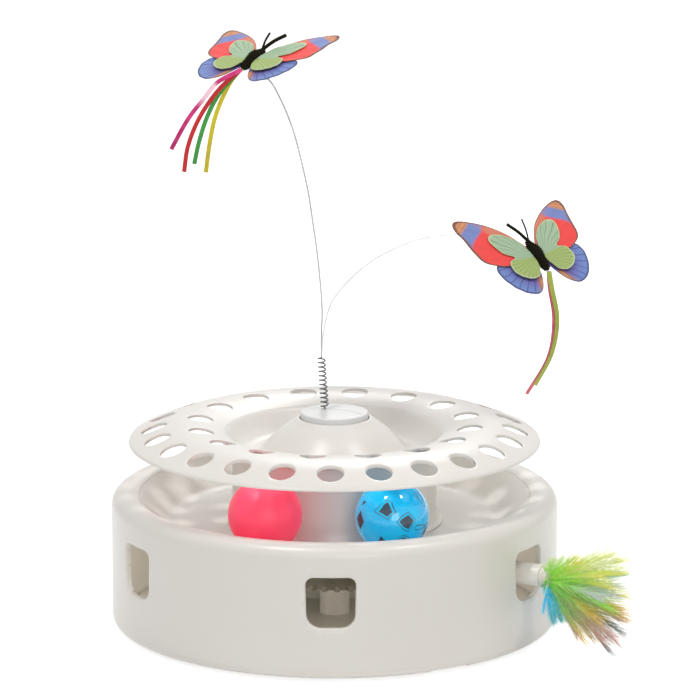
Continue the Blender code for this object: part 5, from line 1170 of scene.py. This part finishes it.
def makeTrunk(name, butterfly, place, body):
    # a chenille stem: a soft two-lobed core, and feelers, with short hairs standing out all round
    deselectAll()
    core, half = fluff["core"], trunk["length"] / 2 - 0.4
    bpy.ops.mesh.primitive_uv_sphere_add(segments=24, ring_count=24, radius=mm)
    piece = bpy.context.object
    piece.name = name + "_butterflyBody"
    chance = random.Random(11)

    def lobed(spot):
        share = spot.y
        wide = core * (1.0 + 0.15 * sin(5.0 * share + 0.6))
        return Vector((spot.x * wide, spot.y * half + fluff["along"], spot.z * wide))

    for vert in piece.data.vertices:
        vert.co = lobed(vert.co / mm) * mm
    plants = []
    count = fluff["hairs"]
    for index in range(count):
        high = 1 - 2 * (index + 0.5) / count
        turn = index * pi * (3 - sqrt(5))
        ring = sqrt(1 - high ** 2)
        spot = Vector((ring * cos(turn), high, ring * sin(turn)))
        ahead = Vector((spot.x, spot.y * 0.5, spot.z))
        ahead += Vector((chance.uniform(-1, 1), chance.uniform(-1, 1), chance.uniform(-1, 1))) * 0.5
        grow = chance.uniform(*fluff["length"])
        lie = Matrix.Translation(lobed(spot * 0.96) * mm) @ pointing(ahead) @ Matrix.Diagonal((1, 1, grow, 1))
        plants.append((lie, fluff["dark"], fluff["light"]))
    parts = [paintDark(piece)]
    head = Vector((0, half - 0.6, 1.0))
    for tip, thick in zip(butterfly["antennaTips"], butterfly["feelers"]):
        bend = head.lerp(Vector(tip), 0.5) + Vector((0, 0, 0.7))
        route = curveThrough((head, bend, tip), 12)
        stem = tubeAlong(name + "Feeler", [spot * mm for spot in route], thick * mm, 3)
        parts.append(paintDark(stem))
        for index in range(fluff["feelerHairs"]):
            share = index / fluff["feelerHairs"] * (len(route) - 1.01)
            start, end = route[int(share)], route[int(share) + 1]
            along = (end - start).normalized()
            aside = along.orthogonal().normalized()
            aside.rotate(Matrix.Rotation(index * 2.4, 3, along))
            grow = thick + chance.uniform(*fluff["feelerLength"])
            lie = (Matrix.Translation(start.lerp(end, share % 1) * mm) @ pointing(aside + along * 0.4)
                   @ Matrix.Diagonal((0.8, 0.8, grow, 1)))
            plants.append((lie, fluff["dark"], fluff["light"]))
    parts.append(plantHairs(name + "Fluff", makeHair(fluff["width"], (), 0.0), plants))
    piece = joinAll(parts)
    piece.data.transform(place)
    return dress(piece, chenilleDark, body, [name + "_butterfly_body"], 0)


def makeStreamer(name, butterfly, colour, layer, fall, place):
    # a strip drawn out from the tail, row by row
    tail = place @ (Vector((0, 3 * ribbon["gap"] - trunk["length"] / 2, 0)) * mm) / mm
    tail.y += layer * ribbon["layer"]
    route = curveThrough([tail] + [tail + Vector(shares) * fall for shares in hangShares[colour]], 12)
    deselectAll()
    bpy.ops.mesh.primitive_grid_add(x_subdivisions=4, y_subdivisions=len(route) - 1, size=1)
    piece = bpy.context.object
    piece.name = "%s_%sStreamer" % (name, colour)
    for vert in piece.data.vertices:
        row = round((vert.co.y + 0.5) * (len(route) - 1))
        ahead = route[min(row + 1, len(route) - 1)] - route[max(row - 1, 0)]
        wide = Vector((0, 1, 0)).cross(ahead).normalized()
        cup = Vector((0, 1, 0)) * (ribbon["cup"] * (1 - (2 * vert.co.x) ** 2))
        width = butterfly["width"] * (1 - butterfly["taper"] * row / (len(route) - 1))
        vert.co = (route[row] + wide * vert.co.x * width + cup) * mm
    applyModifier(piece, "SOLIDIFY", thickness=ribbon["film"] * mm, offset=0)
    closeUp(piece)
    applyModifier(piece, "BEVEL", width=ribbon["edge"] * mm, segments=2)
    dress(piece, foils[colour], name + "_wand", ["%s_%s_streamer" % (name, colour)], 40)


def makeWire(name, place, butterfly, foot):
    reach = (trunk["radius"] + wire["gap"]) * mm
    end = place @ Vector((0, 0, -reach)) / mm
    neck = place @ Vector((0, 0, -reach - wire["neck"] * mm)) / mm
    way = Vector((0, 0, cap["top"])) + Vector(butterfly["above"]) - foot
    route = [foot, foot + Vector((0, 0, 2 * spring["wire"]))]
    points = [route[1]] + [foot + way * Vector(shares) for shares in butterfly["wireShares"]] + [neck]
    route = [foot] + curveThrough(points, 8) + [end]
    piece = tubeAlong(name + "_wandWire", [spot * mm for spot in route], wire["radius"] * mm, 3)
    dress(piece, butterfly["wireLook"], name + "_wand", [name + "_wand_wire"], 60)


def makeButterflies():
    feet = {
        "tall": springEnd + Vector((0, 0, wire["gap"])),
        "low": Vector((spring["foot"][0] + spring["lean"], spring["foot"][1] + spring["coil"],
                       coilTop - spring["pitch"] / 2 + spring["wire"] + wire["gap"])),
    }
    for name, butterfly in butterflies.items():
        place = butterflyFrame(butterfly)
        makeWire(name, place, butterfly, feet[name])
        body = makeTrunk(name, butterfly, place, name + "_wand")
        for sideName, side in (("left", -1), ("right", 1)):
            stretch, curl = butterfly["sides"][sideName]
            for kind in wingShapes:
                makeWing("%s_%s" % (name, sideName), kind, side, stretch, curl, place)
        for index, (colour, fall) in enumerate(butterfly["streamers"]):
            layer = index + 1 - len(butterfly["streamers"])
            makeStreamer(name, butterfly, colour, layer, fall, place)


makeButterflies()
print("butterflies ready")


# balls
ball = {"radius": 19.5, "circle": 78.0, "height": 77.1, "pink": -27.7, "blue": 23.0, "wall": 1.2,
        "seamTilt": 35.0, "seamGap": 0.03, "seamBevel": 0.25, "seamPinch": 0.994, "pinkTurn": (52, -30)}
bell = {"radius": 5.0, "seamBevel": 0.4, "gap": 0.3}


def ballCentre(colour):
    return atBearing(ball[colour], ball["circle"], ball["height"]) * mm


def seamedBall(name, radius, segments, seam, pinch):
    # a ball with a bevelled seam round its middle
    deselectAll()
    bpy.ops.mesh.primitive_uv_sphere_add(segments=segments, ring_count=segments // 2, radius=radius * mm)
    piece = bpy.context.object
    piece.name = name
    bpy.ops.object.mode_set(mode="EDIT")
    selectEdges(piece, lambda a, b: abs(a.z) < 0.01 * mm and abs(b.z) < 0.01 * mm)
    bpy.ops.mesh.bevel(offset=seam * mm, segments=2, affect="EDGES")
    selectEdges(piece, lambda a, b: abs(a.z) < 0.05 * mm and abs(b.z) < 0.05 * mm)
    bpy.ops.transform.resize(value=(pinch, pinch, 1), center_override=(0, 0, 0))
    bpy.ops.object.mode_set(mode="OBJECT")
    return piece


def makePinkBall():
    piece = seamedBall("pinkBall", ball["radius"], 96, ball["seamBevel"], ball["seamPinch"])
    tip, roll = [radians(turn) for turn in ball["pinkTurn"]]
    piece.data.transform(Matrix.Translation(ballCentre("pink")) @ Matrix.Rotation(tip, 4, "X")
                         @ Matrix.Rotation(roll, 4, "Y"))
    dress(piece, ballPink, "pink_ball", ["pink_ball"], 50)


def makeBlueBall():
    # two half shells, one turned over, whose seam leans
    radius, inner, lift = ball["radius"], ball["radius"] - ball["wall"], ball["seamGap"]
    outside = arcRings((0, lift), (radius, radius), 0, 87, 29)
    inside = arcRings((0, lift), (inner, inner), 87, 0, 29)
    rings = outside + [(0.05, radius + lift), (0.05, inner + lift)] + inside + [outside[0]]
    lie = Matrix.Translation(ballCentre("blue")) @ Matrix.Rotation(radians(ball["seamTilt"]), 4, "Y")
    for half, flip in (("Top", 0.0), ("Bottom", pi)):
        piece = turnedPiece("blueShell" + half, rings, 96)
        piece.data.transform(lie @ Matrix.Rotation(flip, 4, "X"))
        dress(piece, ballBlue, "blue_ball", ["blue_ball_shell_" + half.lower()], 50)


def makeBell():
    piece = seamedBall("ballBell", bell["radius"], 40, bell["seamBevel"], 1.0)
    drop = (ball["radius"] - ball["wall"] - bell["radius"] - bell["gap"]) * mm
    piece.data.transform(Matrix.Translation(ballCentre("blue") - Vector((0, 0, drop))))
    dress(piece, bellBrass, "blue_ball", ["ball_bell"], 50)


makePinkBall()
makeBlueBall()
makeBell()
print("balls ready")


# feather arm, plug and tuft
arm = {"bearing": 59.2, "crank": 30.0, "height": 43.0, "radius": 5.9, "length": 98.0, "hub": 8.5,
       "hubTop": 49.2, "neck": 5.0, "gearTop": 34.3, "gearBottom": 29.3, "teeth": 10, "root": 4.86,
       "tip": 6.9, "pin": 2.5, "socket": 3.3, "socketDepth": 8.0}
plug = {"radius": 5.4, "length": 4.2, "gap": 0.1}
armFrame = (Matrix.Rotation(radians(arm["bearing"]) - pi / 2, 4, "Z")
            @ Matrix.Translation((arm["crank"] * mm, 0, 0)))


def makeArm():
    lie = Matrix.Translation((0, 0, arm["height"] * mm)) @ Matrix.Rotation(pi / 2, 4, "Y")
    radius, length, low = arm["radius"], arm["length"], arm["height"] - arm["radius"]
    rod = turnedPiece("featherArm", [(radius, 0), (radius, length - 0.8), (radius - 0.25, length - 0.2),
                                     (radius - 0.8, length)], 64, closed=False)
    rod.data.transform(lie)
    hub = turnedPiece("hub", [(arm["hub"] - 0.5, arm["hubTop"]), (arm["hub"], arm["hubTop"] - 0.5),
                              (arm["hub"], low), (arm["neck"], low), (arm["neck"], arm["gearTop"] - 1)],
                      64, closed=False)
    cutWith(rod, hub, "UNION")
    cutWith(rod, makeArmGear(), "UNION")
    for name, place, rings in (
            ("socket", lie, [(arm["socket"], length + 2), (arm["socket"], length - arm["socketDepth"])]),
            ("pinHole", Matrix(), [(arm["pin"], arm["gearBottom"] - 2), (arm["pin"], arm["height"] + 2.8)])):
        cutter = turnedPiece(name, rings, 40, closed=False)
        cutter.data.transform(place)
        cutWith(rod, cutter)
    rod.data.transform(armFrame)
    dress(rod, warmWhite, "feather_arm", ["feather_arm"], 30)


def makeArmGear():
    # teeth are pushed out of a cylinder, each from the faces that look its way
    deselectAll()
    sides = 4 * arm["teeth"]
    top, bottom = arm["gearTop"], arm["gearBottom"]
    bpy.ops.mesh.primitive_cylinder_add(vertices=sides, radius=arm["root"] * mm, depth=(top - bottom) * mm,
                                        location=(0, 0, (top + bottom) / 2 * mm), rotation=(0, 0, pi / sides))
    gear = bpy.context.object
    settle(gear)
    bpy.ops.object.mode_set(mode="EDIT")
    near = cos(1.6 * pi / sides)
    for tooth in range(arm["teeth"]):
        turn = 2 * pi * tooth / arm["teeth"]
        ahead = Vector((cos(turn), sin(turn), 0))
        selectFaces(gear, lambda middle, normal: abs(normal.z) < 0.5 and normal.dot(ahead) > near)
        push = ahead * (arm["tip"] - arm["root"]) * mm
        bpy.ops.mesh.extrude_region_move(TRANSFORM_OT_translate={"value": push})
    bpy.ops.object.mode_set(mode="OBJECT")
    closeUp(gear)
    return gear


def makePlug():
    gap, collar, end = plug["gap"], plug["radius"], plug["length"] + plug["gap"]
    stem = arm["socket"] - gap
    rings = [(collar - 0.4, end), (collar, end - 0.4), (collar, gap + 0.1), (collar - 0.1, gap),
             (stem, gap), (stem, 2 * gap - arm["socketDepth"])]
    piece = turnedPiece("featherPlug", rings, 48, closed=False)
    lie = Matrix.Translation((arm["length"] * mm, 0, arm["height"] * mm)) @ Matrix.Rotation(pi / 2, 4, "Y")
    piece.data.transform(armFrame @ lie)
    dress(piece, plugPink, "feather_arm", ["feather_plug"], 30)


dyes = {
    "lime": (0.36, 0.78, 0.04), "green": (0.16, 0.60, 0.06), "yellow": (0.76, 0.75, 0.14),
    "cyan": (0.04, 0.62, 0.88), "teal": (0.04, 0.42, 0.44), "orange": (0.72, 0.47, 0.04),
    "rose": (0.72, 0.40, 0.35), "mist": (0.60, 0.64, 0.72), "dark": (0.03, 0.11, 0.13),
    "plum": (0.44, 0.13, 0.38), "pale": (0.78, 0.84, 0.58),
}
# each plume: how far up or down and aside it points in degrees, its length in mm, and its dyes
plumes = (
    (96, 10, 9, "lime", "pale"), (90, -30, 9, "lime", "pale"), (86, 30, 9, "lime", "pale"),
    (80, -26, 10, "lime", "pale"), (72, -4, 12, "lime", "pale"), (20, -62, 9, "lime", "green"),
    (-30, -66, 10, "green", "cyan"), (0, -76, 8, "lime", "teal"), (40, -60, 9, "lime", "pale"),
    (64, 24, 14, "lime", "pale"), (54, -20, 18, "lime", "pale"),
    (44, 8, 22, "lime", "pale"), (35, -14, 32, "lime", "yellow"), (29, 6, 44, "lime", "yellow"),
    (26, -6, 50, "yellow", "pale"), (23, 14, 49, "yellow", "yellow"), (19, -16, 47, "lime", "yellow"),
    (16, 4, 50, "lime", "yellow"), (12, 20, 45, "green", "teal"), (10, -10, 48, "lime", "yellow"),
    (6, 10, 45, "teal", "mist"), (3, -18, 46, "lime", "mist"), (0, 2, 44, "dark", "mist"),
    (-3, 16, 47, "lime", "yellow"), (-6, -8, 46, "green", "lime"), (-10, 6, 48, "lime", "orange"),
    (-14, -18, 46, "green", "orange"), (-17, 12, 50, "teal", "orange"), (-20, -2, 53, "orange", "dark"),
    (-23, 18, 46, "teal", "rose"), (-27, -12, 50, "green", "rose"), (-30, 4, 53, "teal", "rose"),
    (-33, -6, 53, "rose", "dark"), (-36, 14, 46, "teal", "mist"), (-40, -14, 41, "green", "orange"),
    (-44, 4, 38, "teal", "orange"), (-48, -8, 33, "cyan", "plum"), (-53, 16, 28, "teal", "plum"),
    (-50, -22, 22, "cyan", "teal"), (-56, 0, 20, "cyan", "cyan"), (-60, 24, 20, "cyan", "cyan"),
    (-64, -16, 20, "cyan", "cyan"), (-68, 6, 20, "cyan", "cyan"), (-72, 18, 19, "cyan", "mist"),
    (-77, -8, 18, "cyan", "cyan"), (-82, 12, 17, "cyan", "cyan"), (-88, 0, 16, "cyan", "mist"),
    (-84, 28, 15, "cyan", "cyan"), (-86, -26, 14, "cyan", "cyan"), (-58, -30, 23, "cyan", "teal"),
    (-62, 34, 22, "cyan", "mist"), (-46, 24, 26, "teal", "cyan"), (-52, 8, 24, "cyan", "teal"),
)
tuft = {"hairWidth": 0.12, "hairs": 138, "sag": 0.08, "drop": 2.0, "spread": 3.0, "start": 3.4,
        "grown": 1.028}


def makeTuft():
    chance = random.Random(5)
    root = Vector((arm["length"] + tuft["start"], 0, arm["height"] - tuft["drop"]))
    plants = []
    for rise, aside, length, near, far in plumes:
        length *= tuft["grown"]
        up, turn = radians(rise), radians(aside)
        ahead = Vector((cos(up) * cos(turn), sin(turn), sin(up) * cos(turn))).normalized()
        spread = ahead.orthogonal().normalized()
        spread.rotate(Matrix.Rotation(chance.uniform(0, 2 * pi), 3, ahead))
        lift = ahead.cross(spread)
        base = root + Vector((0, ahead.y, ahead.z)) * tuft["spread"]
        shaft = []
        for step in range(9):
            share = step / 8
            sag = Vector((0, 0, tuft["sag"] * length * share ** 2))
            shaft.append(base + ahead * (0.6 + length * 0.80 * share) - sag)
        for index in range(tuft["hairs"]):
            share = (index + 0.5) / tuft["hairs"]
            step = min(int(share * 8), 7)
            spot = shaft[step].lerp(shaft[step + 1], share * 8 - step)
            opened = radians(chance.uniform(5, 26)) * (1 - 0.4 * share) * (1 if index % 2 else -1)
            out = ahead * cos(opened) + spread * sin(opened) + lift * chance.uniform(-0.22, 0.22)
            grow = length * (0.20 + 0.30 * sin(pi * min(1.0, share * 0.8 + 0.2))) * chance.uniform(0.7, 1.2)
            grow = min(grow, length * (1.02 - 0.82 * share))
            roll = Matrix.Rotation(chance.uniform(0, 2 * pi), 4, "Z")
            wide = 0.55 + 0.03 * grow
            place = (armFrame @ Matrix.Translation(spot * mm) @ pointing(out) @ roll
                     @ Matrix.Diagonal((wide, wide, grow, 1)))
            light = 0.85 + 0.3 * chance.random()
            ends = []
            for along in (share, share + 0.3):
                blend = min(1.0, max(0.0, (along - 0.25) / 0.6))
                ends.append([min(1.0, (a + (b - a) * blend) * light) for a, b in zip(dyes[near], dyes[far])])
            plants.append((place, *ends))
    piece = plantHairs("featherTuft", makeHair(tuft["hairWidth"], (0.3, 0.6, 0.85), 0.14), plants)
    dress(piece, dyedFeather, "feather_arm", ["feather_tuft"], 0)


makeArm()
makePlug()
makeTuft()
print("feather ready")


# rubber feet, and finishes on the parts that stay as they are
foot = {"bearings": (48.0, -52.0, 132.0, -132.0), "circle": 99.0, "radius": 10.0, "top": 1.7,
        "rounding": 0.7, "dish": (6.0, 3.0, 0.35)}


def makeFeet():
    radius, rounding = foot["radius"], foot["rounding"]
    outer, inner, depth = foot["dish"]
    rings = [(radius, foot["top"])]
    rings += arcRings((radius - rounding, rounding), (rounding, rounding), 0, -90, 5)
    rings += [(outer, 0.0), (outer - 0.4, depth), (inner, depth)]
    one = turnedPiece("rubberFoot", rings, 64, closed=False)
    for index, bearing in enumerate(foot["bearings"]):
        piece = copyOf(one, Matrix.Translation(atBearing(bearing, foot["circle"] * mm)))
        piece.name = "rubberFoot%d" % (index + 1)
        dress(piece, footRubber, "base", ["rubber_foot_%d" % (index + 1)], 30)
    remove(one)


nodeLooks = {
    "base_tray": warmWhite, "battery_door": warmWhite,
    "power_switch": switchBlack, "circuit_board": boardGreen,
    "battery_1": batterySleeve, "battery_2": batterySleeve, "battery_3": batterySleeve,
    "housing_screw_1": paleSteel, "housing_screw_2": paleSteel, "housing_screw_3": paleSteel,
    "feather_motor": motorCan, "rotor_motor": motorCan, "rotor_shaft": springSteel,
    "crank_gear": gearNylonPaintedShade, "idler_gear": gearNylonPaintedShade, "sun_gear": gearNylonPaintedShade, "rotor_gear": gearNylonPaintedShade,
    "rotor_pinion": gearNylonPaintedShade, "feather_pinion": gearNylonPaintedShade,
}


def finishNodes():
    for name, look in nodeLooks.items():
        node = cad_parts[name]
        node.data.materials.clear()
        node.data.materials.append(look)
        for face in node.data.polygons:
            face.material_index = 0


makeFeet()
finishNodes()
print("all finishes on")
